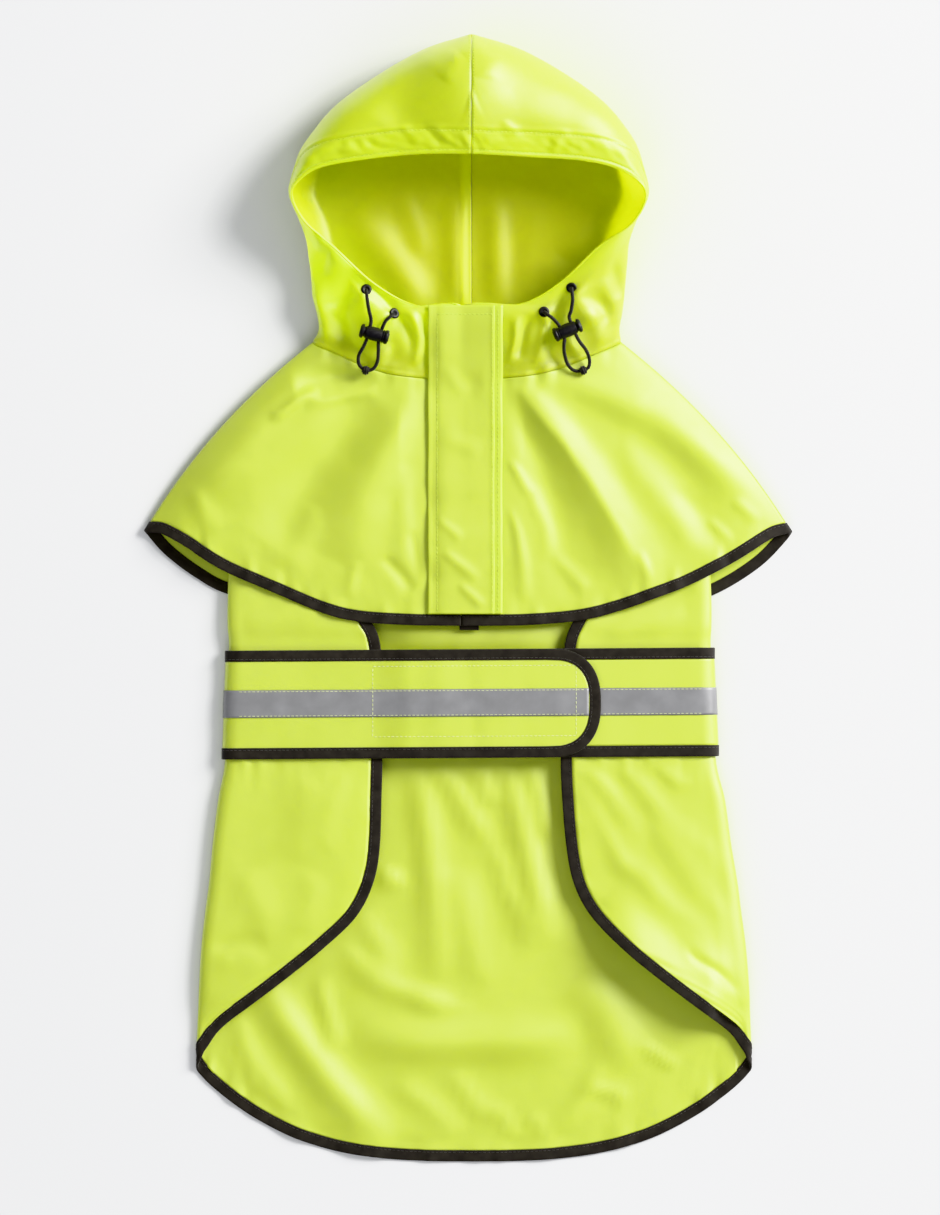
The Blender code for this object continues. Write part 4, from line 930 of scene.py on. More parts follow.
def build_hood():
    """Both hood panels, with hem, facing and seams in relief; returns them."""
    panels = {}
    for side, name in SIDES.items():
        grid = hood_grid(side)
        along, away = arc(grid, 0), arc(grid, 1)
        back = away[:, -1:] - away
        to_seam = along[-1:] - along
        x, y = grid[..., 0], grid[..., 1]
        on_top = smoothstep(-np.arange(grid.shape[1]), -TOP_COLUMNS - 4, -TOP_COLUMNS + 10)
        brim = smoothstep(y, 300, 318) * on_top
        soft = soft_surface(HOOD_CREASES, x, y, 11) * on_top
        soft -= (crease_height(HOOD_BACK_CREASES, x, y) + 0.5 * lumps(x, y, 30, 12)) * (1 - on_top) \
            * smoothstep(back, 0, 5) * smoothstep(away - away[:, TOP_COLUMNS:TOP_COLUMNS + 1], 10, 30)
        soft *= smoothstep(away, 0, 10) * smoothstep(along, 0, 14)
        soft += puckers(along, to_seam, 6, 7, 0.9, 13) * on_top
        soft += (1.0 * lumps(x + 0.5 * y, y, 5.5, 15) * brim
                 * np.exp(-((away - BRIM_HEM / 2 - 2) / 7) ** 2)
                 * (0.6 + 0.8 * np.exp(-((x + 30) / 35) ** 2)))
        normals = grid_normals(grid)
        sign = 1 if normals[HOOD_LINES // 2, 10, 2] > 0 else -1
        grid = grid + normals * (sign * soft)[..., None]
        grid[..., 2] += neck_puckers(x, along) * on_top
        grid[..., 2] = np.maximum(grid[..., 2], FLOOR)
        relief = 0.40 * np.exp(-((away - 1.7) / 1.1) ** 2) - 0.30 * np.exp(-((away - EDGE_SEAM) / 0.7) ** 2)
        relief -= 0.5 * brim * np.exp(-((away - BRIM_HEM) / 0.9) ** 2)
        relief += 0.3 * brim * np.exp(-((away - BRIM_HEM - 2.4) / 1.4) ** 2)
        relief -= 0.45 * np.exp(-(to_seam / 1.0) ** 2) + 0.15 * np.exp(-(along / 0.8) ** 2)
        relief += 0.25 * np.exp(-((along - 2.4) / 1.2) ** 2)
        facing = 0.5 * (1 - smoothstep(away, FACING, FACING + 1.2))
        if side < 0:
            facing += 0.5 * (1 - smoothstep(back, 7.0, 8.0)) * (1 - on_top)
        panels[side] = shell("hood_" + name + "_cloth", grid, (HOOD_LINES // 2, 10), look="hood_cloth",
                             nodes=["hood_" + name], top=relief, under=facing)
        # The inner side gets the lighter colour, painted light on the hood's shaded inside
        line_inside_painting_light(panels[side].piece, grid)
    return panels


def line_inside_painting_light(piece, grid):
    """Gives the inner side of a shell the cloth's back: less coat, as on the uncoated back, and a lighter
    colour that is painted light on the shaded inside of the hood.
    """
    layer = (grid.shape[0] - 1) * (grid.shape[1] - 1)
    index = np.zeros(len(piece.data.polygons), dtype=np.int32)
    index[layer:2 * layer] = 1
    piece.data.materials.append(LOOKS["inside_painted_light"])
    piece.data.polygons.foreach_set("material_index", index)


def hood_stitches(panels):
    """Stitching lines round the face opening and along the centre seam."""
    lime, seam = [], []
    for panel in panels.values():
        brim = np.flatnonzero(panel.upper[:, 0, 1] > 306)
        lime.append(inset_line(panel, 1, False, BRIM_HEM, rows=brim))
        lime.append(inset_line(panel, 1, False, EDGE_SEAM, rows=slice(60, None)))
        lime.append(inset_line(panel, 1, False, FACING - 2, under=True))
        seam.append(inset_line(panel, 0, True, 1.6, rows=slice(0, TOP_COLUMNS - 6)))
    stitches("hood_stitches", lime, "lime_thread")
    stitches("hood_seam_stitches", seam, "lime_thread", pitch=2.6, length=1.6)


# ---------------------------------------------------------------- cape

CAPE_COLUMNS, CAPE_LINES, CAPE_BACK_COLUMNS = 112, 92, 70


def hem_curve(rows, side):
    """Cloth edge of the cape's hem along a table."""
    return smooth_curve([(row.l_x, row.l_y, row.z) if side < 0 else (row.r_x, row.r_y, row.z)
                         for row in rows])


def cape_grid(neck, hem, side):
    """Grid of a cape panel between its neck points and its hem points."""
    share = closer_at_ends(CAPE_LINES, 0.6, 0.5)[:, None, None]
    grid = (neck + np.array((0, -NECK_GAP, 0))) * (1 - share) + hem * share
    sideways = np.minimum(1.0, abs(neck[:, 0]) / 110) ** 2
    bulge = 4 * share[..., 0] * (1 - share[..., 0]) * CAPE_BULGE * sideways
    grid[..., 0] += side * bulge
    grid[..., 1] += 0.6 * bulge
    return grid


def level_normals(points, side):
    """Level normals, facing away from the coat, along the outline of a folded layer."""
    along = np.gradient(points, axis=0)
    normals = unit(np.stack([along[:, 1], -along[:, 0], np.zeros(len(points))], axis=1))
    return np.where(normals[:, :1] * side > 0, normals, -normals)


def outward_run(points, inside):
    """Plan directions square to a run of edge points, away from the point inside the cloth."""
    along = np.gradient(points, axis=0)
    ways = unit(np.stack([along[:, 1], -along[:, 0], np.zeros(len(points))], axis=1))
    middle = len(points) // 2
    return ways if np.dot(ways[middle], points[middle] - inside) > 0 else -ways


def edge_normals(edge, outward, like):
    """Normals square to an edge and to its outward direction, on the side that like points to."""
    normals = unit(np.cross(np.gradient(edge, axis=0), outward))
    return np.where((normals * like).sum(axis=1, keepdims=True) < 0, -normals, normals)


def binding_profile():
    """Places across a folded binding and heights above its middle, round its closed section."""
    profile = np.array([(0.0, 0.75), (0.04, 1.0), (0.12, 1.0), (0.20, 0.86), (0.32, 0.98), (0.6, 1.0),
                        (0.82, 1.0), (0.94, 0.94), (0.99, 0.62), (1.0, 0.0)])
    profile = np.concatenate([profile, (profile * (1, -1))[-2::-1]])
    return profile[:, 0] * (BINDING_WIDTH + BINDING_OVERLAP) - BINDING_OVERLAP, profile[:, 1] * BINDING / 2


def strip_piece(name, section, nodes):
    """Closed strip of binding from its sections."""
    section[..., 2] = np.maximum(section[..., 2], LOWEST)
    rows, count = section.shape[:2]
    faces = grid_faces(rows, count, closed=True).tolist()
    last = (rows - 1) * count
    faces += [list(range(count))[::-1], [last + k for k in range(count)]]
    places, heights = binding_profile()
    across = np.insert(np.cumsum(np.hypot(np.diff(places), np.diff(heights))), 0, 0.0)
    uv = np.stack([np.tile(across, rows), np.repeat(arc(section[:, 0], 0), count)], axis=1)
    return add_piece(name, section.reshape(-1, 3), faces, "binding", nodes, uv, tidy=True)


def edge_strip(name, edge, outward, normals, nodes, seed=50):
    """Folded binding along a run of edge points, and its stitching line on top."""
    wave = 1 + 0.10 * lumps(arc(edge, 0), edge[:, 0] * 0, 9, seed)
    places, heights = binding_profile()
    section = (edge[:, None] + unit(outward)[:, None] * places[None, :, None]
               + normals[:, None] * (heights[None, :] * wave[:, None])[..., None])
    return strip_piece(name, section, nodes), (section[:, 3] + normals * 0.03, normals)


def build_cape(hood):
    """Two fronts and a back, joined by the binding round the hem; returns the pieces."""
    fronts, halves, outlines = {}, {}, {}
    columns = closer_at_ends(CAPE_COLUMNS, 0.3, 0.5)
    back_columns = closer_at_ends(CAPE_BACK_COLUMNS, 0.5, 0.0)
    for side, name in SIDES.items():
        line = hood[side][0]
        neck = resample(line[:TOP_COLUMNS + 1], columns)
        under = resample(line[TOP_COLUMNS:], back_columns)
        front = cape_grid(neck, resample(hem_curve(CAPE_FRONT_HEM, side), columns), side)
        x, y = front[..., 0], front[..., 1]
        clear = np.clip((abs(x - SLIT_X) - PLACKET_CLEAR) / PLACKET_FADE, 0, 1)
        front[..., 2] += clear * crease_height(CAPE_FOLDS, x, y) * smoothstep(arc(front, 0), 0, 16)
        front[:, 0, 0] = SLIT_X + side * GAP / 2
        fronts[side] = front
        hem = resample(hem_curve(CAPE_BACK_HEM, side), back_columns)
        hem[:, 2] = np.maximum(hem[:, 2], HEM_FLOOR)
        halves[side] = cape_grid(under, hem, side)
        outlines[side] = level_normals(front[:, -1], side)
    back = np.concatenate([halves[-1], halves[1][:, ::-1][:, 1:]], axis=1)
    back[..., 2] = np.maximum(back[..., 2], FLOOR)
    normals = grid_normals(back)
    if normals[-1, back.shape[1] // 2, 2] > 0:
        normals = -normals
    normals[:, 0], normals[:, -1] = outlines[-1], outlines[1]
    back_edge = (back[-1], normals[-1])
    cape_back = shell("cape_back_cloth", back, (CAPE_LINES // 2, CAPE_BACK_COLUMNS), nodes=["cape_back"],
                      normals=-normals)
    pieces = {"back": cape_back}
    ends = {}
    for side, name in SIDES.items():
        grid = fronts[side]
        x, y = grid[..., 0], grid[..., 1]
        along, away = arc(grid, 1), arc(grid, 0)
        hem_way = away[-1:] - away
        outline_way = along[:, -1:] - along
        calm = smoothstep(outline_way, 2, 26) * smoothstep(abs(x - SLIT_X), 20, 42)
        soft = soft_surface(CAPE_CREASES, x, y, 21) * calm * (0.25 + 0.75 * smoothstep(hem_way, 0, 18))
        soft = soft * smoothstep(away, 0, 14) + neck_puckers(x, away) * smoothstep(outline_way, 2, 16)
        round_out = np.maximum(0, np.sin(np.pi * away / away[-1:])) ** 0.6
        soft += SHOULDER_RISE[side] * np.exp(-((outline_way - 22) / 18) ** 2) * round_out
        soft += puckers(along, hem_way, 7, 9, 1.0, 23) * calm
        normals = grid_normals(grid)
        sign = 1 if normals[40, 40, 2] > 0 else -1
        normals = normals * sign
        grid = grid + np.array((0, 0, 1.0)) * soft[..., None]
        normals = grid_normals(grid) * sign
        normals[:, -1] = outlines[side]
        relief = -0.15 * np.exp(-(away / 0.9) ** 2)
        pieces[side] = shell("cape_" + name + "_cloth", grid, (40, 40), nodes=["cape_" + name], top=relief,
                             normals=normals)
        edge = grid[-1]
        outward = outward_run(edge, grid[-20, CAPE_COLUMNS // 2])
        tip = unit((grid[-1, -1] - grid[-4, -1]) * (1, 1, 0))
        weight = np.exp(-(outline_way[-1] / 4.0))[:, None]
        outward = unit(outward * (1 - weight) + tip * weight)
        ends[side] = (edge + outward * FOLD_GAP * weight, outward, normals[-1])
    edge, facing = back_edge
    outward = outward_run(edge, back[-20, back.shape[1] // 2])
    across = arc(edge, 0)
    for side, from_tip in ((-1, across), (1, across[-1] - across)):
        tip = ends[side][1][-1]
        weight = np.exp(-(from_tip / 8.0))[:, None]
        outward = unit(outward * (1 - weight) + tip * weight)
    inner = slice(3, -3)
    strip, line = edge_strip("cape_binding_strip",
                             np.concatenate([ends[-1][0], edge[inner], ends[1][0][::-1]]),
                             np.concatenate([ends[-1][1], outward[inner], ends[1][1][::-1]]),
                             np.concatenate([ends[-1][2], facing[inner], ends[1][2][::-1]]), ["cape_binding"])
    pieces["binding"] = strip
    stitches("cape_binding_stitches", [line], "black_thread", radius=0.2)
    return pieces


# ---------------------------------------------------------------- body

FLAP_COLUMNS, BACK_HALF_COLUMNS, BODY_LINES = 56, 76, 170


def body_half(row, side, columns=FLAP_COLUMNS):
    """Half a section: flap from its free edge to the side fold, then the back to the middle."""
    outline_x, flap = (row.l_side_x, (row.l_flap_x, row.l_flap_y)) if side < 0 else \
        (row.r_side_x, (row.r_flap_x, row.r_flap_y))
    flap = np.array(flap, float)
    outline = np.array((outline_x, row.side_y), float)
    floor = FLOOR + row.under
    reach = np.linalg.norm(flap - outline)
    bend = min(FOLD_REACH, max(reach / 2, 1.0))

    def fold_share(distance):
        return 1 - np.sqrt(np.maximum(0.0, 1 - np.maximum(0.0, 1 - distance / bend) ** 2))

    share = ((1 - np.arange(columns + 1) / columns) ** 1.6)[:, None]
    place = outline + (flap - outline) * share
    height = floor + row.lift * (1 - 0.5 * fold_share(share * reach))
    top = np.concatenate([place, height], axis=1)
    turn = 0.5 * np.pi * np.arange(BACK_HALF_COLUMNS + 1) / BACK_HALF_COLUMNS
    across = np.cos(turn * (0.35 + 0.65 * np.arange(BACK_HALF_COLUMNS + 1) / BACK_HALF_COLUMNS))
    y = row.mid_y + (row.side_y - row.mid_y) * across ** ROW_POWER
    if row is BODY_ROWS[-1]:
        y = np.interp(across * TAIL_HEM[-1][0], *smooth_curve(TAIL_HEM).T)
    height = floor + row.lift * 0.5 * fold_share(abs(outline_x) * (1 - across))
    return top, np.stack([outline_x * across, y, height], axis=1)


def body_fractions():
    """Rows of the body, closer where they show and at the hem."""
    t = np.linspace(0, 1, 801)
    density = 0.35 + 0.65 * smoothstep(t, 0.30, 0.42) + 0.6 * smoothstep(t, 0.93, 1.0)
    total = np.insert(np.cumsum((density[1:] + density[:-1]) / 2), 0, 0.0)
    return np.interp(np.linspace(0, 1, BODY_LINES + 1), total / total[-1], t)


def bend_round(points, heights, fold):
    """Flat points (away from the middle, y, lift) bent round a side fold, heights above the sheet."""
    beyond = points[..., 0] - fold.x
    angle = np.clip(beyond / fold.radius, 0, np.pi)
    arm = fold.radius + heights
    x = np.where(beyond < 0, points[..., 0], fold.x + arm * np.sin(angle))
    x = np.where(angle >= np.pi, fold.x - (beyond - np.pi * fold.radius), x)
    z = fold.z + arm * np.cos(angle) + points[..., 2]
    return np.stack([x, points[..., 1], z], axis=-1)


def flat_edge(free, hem, fold, side):
    """A flap's free edge and half of the tail hem as one line, opened flat about the side fold."""
    top, under = free.copy(), hem.copy()
    top[:, 0] *= side
    top[:, 2] -= fold.z + fold.radius
    under[:, 0] = 2 * fold.x + np.pi * fold.radius - under[:, 0] * side
    under[:, 2] -= fold.z - fold.radius
    top[:, 2] *= 1 - smoothstep(top[:, 0], fold.x - FLAP_SETTLE, fold.x - 3)
    under[:, 2] *= smoothstep(under[:, 0], fold.x + 12, fold.x + 30)
    middle = (fold.x + np.pi / 2 * fold.radius, under[0, 1], 0.0)
    line = np.concatenate([top, [middle], under[1:]])
    line = resample(line, np.linspace(0, 1, int(arc(line, 0)[-1] / 1.3)))
    for _ in range(10):
        line[1:-1] = (line[:-2] + 2 * line[1:-1] + line[2:]) / 4
    return line


def bound_edge(line, fold, side):
    """Binding sections along an opened edge, bent round the fold: places and upward sides."""
    along = unit(np.gradient(line[:, :2], axis=0))
    outward = np.stack([along[:, 1], -along[:, 0], np.zeros(len(line))], axis=1)
    places, heights = binding_profile()
    wave = 1 + 0.10 * lumps(arc(line, 0), line[:, 0] * 0, 9, 50 + side)
    flat = line[:, None] + outward[:, None] * places[None, :, None]
    section = bend_round(flat, heights[None] * wave[:, None], fold)
    up = unit(bend_round(flat, heights[None] + 1.0, fold) - bend_round(flat, heights[None], fold))
    return section * (side, 1, 1), up * (side, 1, 1)


SideFold = namedtuple("SideFold", "x z radius")


def build_body():
    """Back panel, two flaps folded over it, and the binding along their edges."""
    halves = {side: [body_half(row, side) for row in BODY_ROWS] for side in SIDES}
    back = refine_rows([np.concatenate([left[1], right[1][::-1][1:]])
                        for left, right in zip(halves[-1], halves[1])], body_fractions())
    x, y = back[..., 0], back[..., 1]
    back[..., 2] += crease_height(BACK_FOLDS, x, y)
    side_way = np.minimum(arc(back, 1), (arc(back, 1)[:, -1:] - arc(back, 1)))
    hem_way = arc(back, 0)[-1:] - arc(back, 0)
    calm = smoothstep(side_way, 4, 24) * (0.15 + 0.85 * smoothstep(-y, 112, 128))
    soft = soft_surface(BACK_CREASES, x, y, 31) * calm * smoothstep(hem_way, 0, 14)
    soft += puckers(arc(back, 1), hem_way, 7, 12, 1.3, 32) * smoothstep(side_way, 4, 20)
    soft += puckers(x, np.maximum(0, -116 - y), 6, 12, 1.4, 33) * smoothstep(-y, 100, 116)
    above_band = smoothstep(y, -60, -46) * (1 - smoothstep(y, -18, 0)) * smoothstep(side_way, 90, 110)
    soft += puckers(x, np.maximum(0, 46 + y), 6, 10, 1.2, 34) * above_band
    back[..., 2] = np.maximum(back[..., 2] + soft, FLOOR)
    normals = grid_normals(back)
    if normals[BODY_LINES // 2, BACK_HALF_COLUMNS, 2] > 0:
        normals = -normals
    pieces, sections, ups = {}, [], []
    hem = back[-1]
    for side, name in SIDES.items():
        rows = [half[0] for half in halves[side]][FIRST_FLAP_ROW:]
        grid = refine_rows(rows, closer_at_ends(136, 0.3, 0.5))
        x, y = grid[..., 0], grid[..., 1]
        edge_way, fold_way = arc(grid, 1), arc(grid, 1)[:, -1:] - arc(grid, 1)
        band = smoothstep(abs(y + 78), 42, 52)
        soft = soft_surface(FLAP_CREASES, x, y, 41) * smoothstep(fold_way, 3, 22) * (0.15 + 0.85 * band)
        soft = soft * smoothstep(edge_way, 0, 10) * smoothstep(y, -318, -292)
        soft += puckers(arc(grid, 0), edge_way, 8, 7, 0.7, 42) * smoothstep(fold_way, 3, 20) * band
        soft += puckers(x, np.maximum(0, -116 - y), 6, 9, 1.0, 43) * smoothstep(-y, 104, 118)
        soft += crease_height(FLAP_LIFTS, x, y) * smoothstep(abs(grid[:, -1:, 0] - x), 3, FLAP_SETTLE)
        grid[..., 2] += soft
        normal = grid_normals(grid)
        if normal[60, 10, 2] < 0:
            normal = -normal
        normal[:, -1] = level_normals(grid[:, -1], side)
        low, high = grid[-1, -1, 2], grid[-1, 0, 2]
        rise = np.clip((grid[-1, :, 2] - low) / (high - low), 0, 1)[:, None]
        normal[-1] = normal[-1, -1] * np.sqrt(1 - rise ** 2) + np.array((0, 0, 1.0)) * rise
        pieces[side] = shell("body_" + name + "_cloth", grid, (60, 10), nodes=["body_" + name],
                             normals=normal)
        index = -1 if side > 0 else 0
        normals[:, index] = level_normals(back[:, index], side)
        corner = BODY_ROWS[-1]
        radius = corner.lift / 2
        fold = SideFold(side * grid[-1, -1, 0] - radius, FLOOR + corner.under + radius, radius)
        middle = BACK_HALF_COLUMNS
        half_hem = hem[:middle + 1] if side < 0 else hem[:middle - 1:-1]
        line = flat_edge(grid[:, 0], half_hem, fold, side)
        section, up = bound_edge(line, fold, side)
        order = slice(None) if side < 0 else slice(-2, None, -1)
        sections.append(section[order])
        ups.append(up[order])
    pieces["back"] = shell("body_back_cloth", back, (BODY_LINES - 30, BACK_HALF_COLUMNS),
                           nodes=["body_back"], normals=-normals)
    section, up = np.concatenate(sections), np.concatenate(ups)
    pieces["binding"] = strip_piece("body_binding_strip", section, ["body_binding"])
    stitches("body_binding_stitches", [(section[:, 3] + up[:, 3] * 0.03, up[:, 3]),
                                       (section[:, -4] - up[:, -4] * 0.03, -up[:, -4])],
             "black_thread", radius=0.2)
    return pieces


# ---------------------------------------------------------------- belly band

WING_COLUMNS = 84


def body_row_at(y):
    """Body section between two straight rows of the table."""
    for row, following in zip(BODY_ROWS, BODY_ROWS[1:]):
        if row.side_y >= y >= following.side_y:
            share = (row.side_y - y) / (row.side_y - following.side_y)
            return BodyRow(*[a + (b - a) * share for a, b in zip(row, following)])
    raise ValueError(y)


def band_path(side, y, out, end_x, climb):
    """Path across the coat at y: round the side fold, over the flap and on to end_x."""
    folded = body_half(body_row_at(y), side, 30)[0][::-1]
    along = np.gradient(folded, axis=0)
    upward = unit(np.stack([-along[:, 2], np.zeros(len(along)), along[:, 0]], axis=1)
                  * np.where(along[:, :1] > 0, 1, -1))
    path = folded + upward * out
    path[:, 1] = y
    path[0] = (folded[0, 0] + side * out, y, folded[0, 2])
    if side * end_x > side * path[-1, 0]:
        kept = path[side * path[:, 0] > side * end_x]
        return np.concatenate([kept, [(end_x, y, path[-1, 2])]])
    x = path[-1, 0] + (end_x - path[-1, 0]) * np.arange(1, WING_COLUMNS + 1) / WING_COLUMNS
    rise = smoothstep(x, CLIMB_START, CLIMB_START + CLIMB_LENGTH)
    wing = np.stack([x, np.full_like(x, y), path[-1, 2] + climb * rise], axis=1)
    return np.concatenate([path, wing])


def band_tilt(x):
    """How much further up the coat the band lies at x than at the left side fold."""
    return BAND_RISE * (x + HALF_GIRTH) / (2 * HALF_GIRTH)


def wing_end(share):
    """Rounded end of the left wing at a place across the band."""
    return LEFT_WING_END - WING_ROUND * (1 - (1 - abs(share) ** 2.6) ** (1 / 2.6))


def band_grid(side, shares, top, bottom, out, climb, end):
    """Grid of a wing or its tape."""
    rows = []
    for share in shares:
        y = (top + bottom) / 2 + share * (top - bottom) / 2
        path = band_path(side, y, out, end(share), climb)
        path[:, 1] = y + band_tilt(path[:, 0])
        rows.append(path)
    return np.array(rows)


def band_soft(x, y):
    """Slight creases of the belly band."""
    return (0.22 * lumps(x, y, 30, 61) + 0.10 * lumps(x, y * 0.4, 11, 62)
            - 0.35 * np.exp(-((x + 8 + 0.1 * y) / 7) ** 2) + 0.25 * np.exp(-((x + 24) / 9) ** 2)
            - 0.2 * np.exp(-((x - 40) / 8) ** 2))


def build_band():
    """Left wing over right wing, with bindings, reflective tape and stitches."""
    pieces = {}
    shares = np.sin(np.radians(np.linspace(-90, 90, 41)))
    layouts = (("left", -1, shares, LAYER_2 - LAYER_1, wing_end),
               ("right", 1, np.linspace(-1, 1, 33), 0.0, lambda share: RIGHT_WING_END))
    runs = []
    for name, side, places, climb, end in layouts:
        grid = band_grid(side, places, BAND_TOP, BAND_BOTTOM, LAYER_1, climb, end)
        x, y = grid[..., 0], grid[..., 1]
        fold_way = arc(grid, 1)
        edges = np.minimum(arc(grid, 0), arc(grid, 0)[-1:] - arc(grid, 0))
        soft = band_soft(x, y) * smoothstep(fold_way, 4, 20)
        soft += puckers(x, edges, 6, 6, 0.08, 63 + side) * smoothstep(fold_way, 4, 20)
        grid[..., 2] += soft
        pieces[name] = shell("band_" + name + "_cloth", grid, (16, 60), nodes=["band_" + name])
        normals = pieces[name].normals
        straight = np.array((0, 1.0, 0))
        lower = (grid[0], np.broadcast_to(-straight, grid[0].shape),
                 edge_normals(grid[0], -straight, normals[0]))
        upper = (grid[-1], np.broadcast_to(straight, grid[-1].shape),
                 edge_normals(grid[-1], straight, normals[-1]))
        if side < 0:
            rounded = grid[:, -1]
            around = (rounded[2:-2], outward_run(rounded, grid[20, -10])[2:-2], normals[2:-2, -1])
            strip, line = edge_strip("band_left_binding_strip",
                                     *[np.concatenate([a[:-2], b, c[:-2][::-1]])
                                       for a, b, c in zip(lower, around, upper)], ["band_left_binding"])
            runs.append(line)
            pieces["left_binding"] = strip
        else:
            for place, stations in (("bottom", lower), ("top", upper)):
                node = "band_right_binding_" + place
                strip, line = edge_strip(node + "_strip", *stations, [node])
                runs.append(line)
                pieces["right_binding_" + place] = strip
    stitches("band_binding_stitches", runs, "black_thread", radius=0.2)
    tapes = (("left", -1, LAYER_2 - LAYER_1, LEFT_WING_END - 1.0),
             ("right", 1, 0.0, LEFT_WING_END - 6.0))
    for name, side, climb, end_x in tapes:
        grid = band_grid(side, np.linspace(-1, 1, 13), TAPE_TOP, TAPE_BOTTOM, LAYER_1 + TAPE_LIFT, climb,
                         lambda share: end_x)
        grid[..., 2] += band_soft(grid[..., 0], grid[..., 1]) * smoothstep(arc(grid, 1), 4, 20)
        node = "reflective_" + name
        pieces["tape_" + name] = shell(node + "_tape", grid, (6, grid.shape[1] // 2),
                                       "reflective", [node], TAPE)
    return pieces


# ---------------------------------------------------------------- placket and hem tab

def height_near(trees, x, y):
    """Greatest height of the surfaces within 1.5 mm of a place, so that seams don't count."""
    probes = [top_at(trees, x + shift_x, y + shift_y)
              for shift_x in (-1.5, 1.5) for shift_y in (-1.5, 1.5)]
    return max(place.z for place, _ in filter(None, probes))


def build_placket(trees):
    """Storm flap over the front opening, and the strip that shows beside it."""
    places = np.linspace(PLACKET_BOTTOM, PLACKET_TOP, 17)
    layouts = (("placket_underlap", UNDERLAP_LEFT, UNDERLAP_RIGHT, 1.8, 12),
               ("placket", PLACKET_LEFT, PLACKET_RIGHT, 3.4, 40))
    pieces = {}
    for name, left, right, lift, columns in layouts:
        across = np.linspace(left, right, 7)
        rough = np.array([[(x, y, height_near(trees, x, min(y, PLACKET_TOP - 3)) + lift) for x in across]
                          for y in places])
        rows = refine_rows(rough, closer_at_ends(130, 0.4, 0.3))
        grid = refine_rows(rows.swapaxes(0, 1), closer_at_ends(columns, 0.6, 0.6)).swapaxes(0, 1)
        x, y = grid[..., 0], grid[..., 1]
        wave = 0.35 * lumps(x * 0.3, y, 22, 71) + 0.15 * lumps(x * 0.3, y, 8, 72)
        grid[..., 2] += wave + crease_height(PLACKET_CREASES, x, y)
        grid[..., 2] -= PLACKET_DROP * np.exp(-((x - left) / 8) ** 2) * (1 + 0.6 * lumps(x * 0, y, 18, 74))
        edge = np.minimum(x - left, right - x)
        from_left = x - left
        grid[..., 0] += 0.25 * lumps(x * 0.1, y, 14, 73)
        relief = 0.30 * np.exp(-((edge - 1.6) / 1.4) ** 2) - 0.25 * np.exp(-((from_left - 6.6) / 0.8) ** 2)
        pieces[name] = shell(name + "_cloth", grid, (60, columns // 2), nodes=[name], top=relief)
    return pieces


def build_hem_tab():
    """End of the lower front's binding, under the cape hem."""
    height = CAPE_HEM_Z - 1.8
    grid = np.array([[(x, y, height) for x in np.linspace(-9, 5.5, 12)] for y in np.linspace(-12, -22.6, 9)])
    grid[..., 2] -= 0.5 * smoothstep(-grid[..., 1], 18, 23)
    return shell("hem_tab_strip", grid, (4, 5), "binding", ["hem_tab"], 0.9)


# ---------------------------------------------------------------- eyelets

EYELET_SIDES = 36
EYELET_SEAT = 0.7         # of an eyelet's middle above the cloth


def build_eyelets(trees):
    """Four flanged eyelets seated on the hood front."""
    profile = [(0.2, -0.5), (0.2, 0.30), (1.3, 0.30), (1.6, 0.55), (2.1, 0.78), (2.8, 0.82), (3.5, 0.64),
               (3.95, 0.20), (4.0, -0.2), (3.9, -0.5)]
    sides = EYELET_SIDES
    angles = 2 * np.pi * np.arange(sides) / sides
    for name, x, y in EYELETS:
        place, normal = top_at(trees, x, y)
        centre = np.array(place + normal * EYELET_SEAT)
        first = unit(np.cross(np.array(normal), (0, 1, 0)))
        second = np.cross(np.array(normal), first)
        rings = [centre + np.array(normal) * h + first * (np.cos(angles) * r)[:, None]
                 + second * (np.sin(angles) * r)[:, None] for r, h in profile]
        points = np.stack(rings, axis=1).reshape(-1, 3)
        index = grid_faces(sides + 1, len(profile), closed=True) % (sides * len(profile))
        add_piece(name + "_ring", points, index, "plastic", [name], tidy=True)


# ---------------------------------------------------------------- stitches on the flat pieces

PLACKET_SEAM = 6.6        # in from the placket's left edge and top
PLACKET_EDGE_SEAM = 1.6   # in from its right edge
UNDERLAP_SEAM = 2.6       # out from its right edge
HEM_START = 2.0           # above the placket's lower end
PATCH_LEFT, PATCH_RIGHT, PATCH_TOP, PATCH_BOTTOM = -73.0, 77.3, -49.5, -101.5
PATCH_RISE = 1.0          # of the patch's right side
TAPE_SEAM = 1.1           # in from the tape's edges
TAPE_RUNS = ((-172, 84), (97, 172))


def top_stitches(trees, band):
    """Stitching lines of the placket, band and tapes."""
    left, right = PLACKET_LEFT + PLACKET_SEAM, PLACKET_RIGHT - PLACKET_EDGE_SEAM
    beside, low = PLACKET_RIGHT + UNDERLAP_SEAM, PLACKET_BOTTOM + HEM_START
    top, end = PLACKET_TOP - PLACKET_SEAM, PLACKET_TOP - HEM_START
    lines = [[(left, low), (left, top)], [(left, top), (right, top)], [(right, low), (right, end)],
             [(beside, low), (beside, end)]]
    stitches("placket_stitches", [laid_line(trees, line) for line in lines], "lime_thread")
    corners = [(PATCH_LEFT, PATCH_BOTTOM), (PATCH_LEFT, PATCH_TOP), (PATCH_RIGHT, PATCH_TOP + PATCH_RISE),
               (PATCH_RIGHT, PATCH_BOTTOM + PATCH_RISE), (PATCH_LEFT, PATCH_BOTTOM)]
    runs = [laid_line(band, pair) for pair in zip(corners, corners[1:])]
    stitches("band_patch_stitches", runs, "pale_thread")
    tape = [laid_line(band, [(x, y + band_tilt(x)) for x in run])
            for y in (TAPE_TOP - TAPE_SEAM, TAPE_BOTTOM + TAPE_SEAM) for run in TAPE_RUNS]
    stitches("tape_stitches", tape, "pale_thread", radius=0.2)
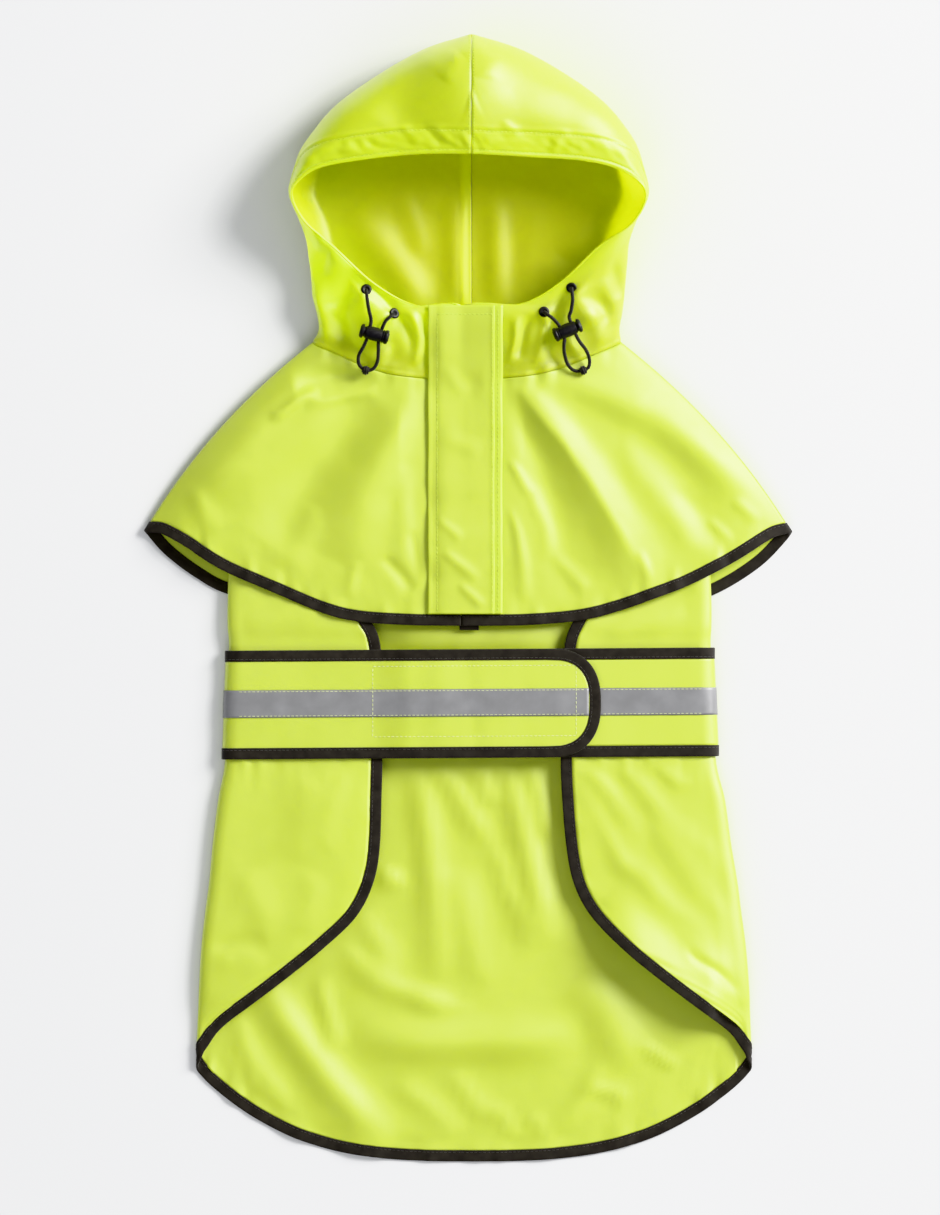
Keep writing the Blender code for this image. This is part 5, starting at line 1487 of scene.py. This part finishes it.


# ---------------------------------------------------------------- studio

FLOOR_REACH = 12.0        # metres from the middle to an edge
FLOOR_DEPTH = 0.0002      # metres below the coat's underside
WORLD_COLOUR, WORLD_STRENGTH = (0.96, 0.98, 1.0, 1), 0.60


def area_light(name, place, size, power, colour):
    """Round soft light that points at the coat's middle."""
    data = bpy.data.lights.new(name, "AREA")
    data.shape = "DISK"
    data.size = size
    data.energy = power
    data.color = colour
    light = bpy.data.objects.new(name, data)
    light.location = place
    light.rotation_euler = (-Vector(place)).to_track_quat("-Z", "Y").to_euler()
    bpy.context.scene.collection.objects.link(light)
    return light


def build_studio():
    """Pale floor, soft world light, key and fill."""
    mesh = bpy.data.meshes.new("floor")
    corners = ((-1, -1), (1, -1), (1, 1), (-1, 1))
    mesh.from_pydata([(x * FLOOR_REACH, y * FLOOR_REACH, -FLOOR_DEPTH) for x, y in corners], [],
                     [(0, 1, 2, 3)])
    mesh.materials.append(LOOKS["floor"])
    floor = bpy.data.objects.new("floor", mesh)
    bpy.context.scene.collection.objects.link(floor)
    world = bpy.data.worlds.new("studio")
    world.use_nodes = True
    world.node_tree.nodes["Background"].inputs["Color"].default_value = WORLD_COLOUR
    world.node_tree.nodes["Background"].inputs["Strength"].default_value = WORLD_STRENGTH
    world.cycles_visibility.glossy = False
    bpy.context.scene.world = world
    area_light("key", (2.8, 1.6, 2.0), 2.0, 250, (1.0, 0.99, 0.97))
    fill = area_light("fill", (-0.6, -2.6, 2.0), 2.0, 30, (1.0, 1.0, 1.0))
    fill.visible_glossy = False
    bpy.context.scene.view_settings.view_transform = "Khronos PBR Neutral"


# ---------------------------------------------------------------- the coat

add_camera()
for cord_side in ("left", "right"):
    build_cord(cord_side)
hood = build_hood()
cape = build_cape({side: hood_grid(side) for side in SIDES})
build_body()
band = build_band()
upper_trees = [surface_tree(cloth.upper) for cloth in (hood[-1], hood[1], cape[-1], cape[1])]
placket = build_placket(upper_trees)
build_hem_tab()
build_eyelets(upper_trees)
hood_stitches(hood)
top_stitches([surface_tree(cloth.upper) for cloth in placket.values()],
             [surface_tree(band[name].upper) for name in ("left", "right", "tape_left", "tape_right")])
build_studio()

bpy.context.view_layer.update()
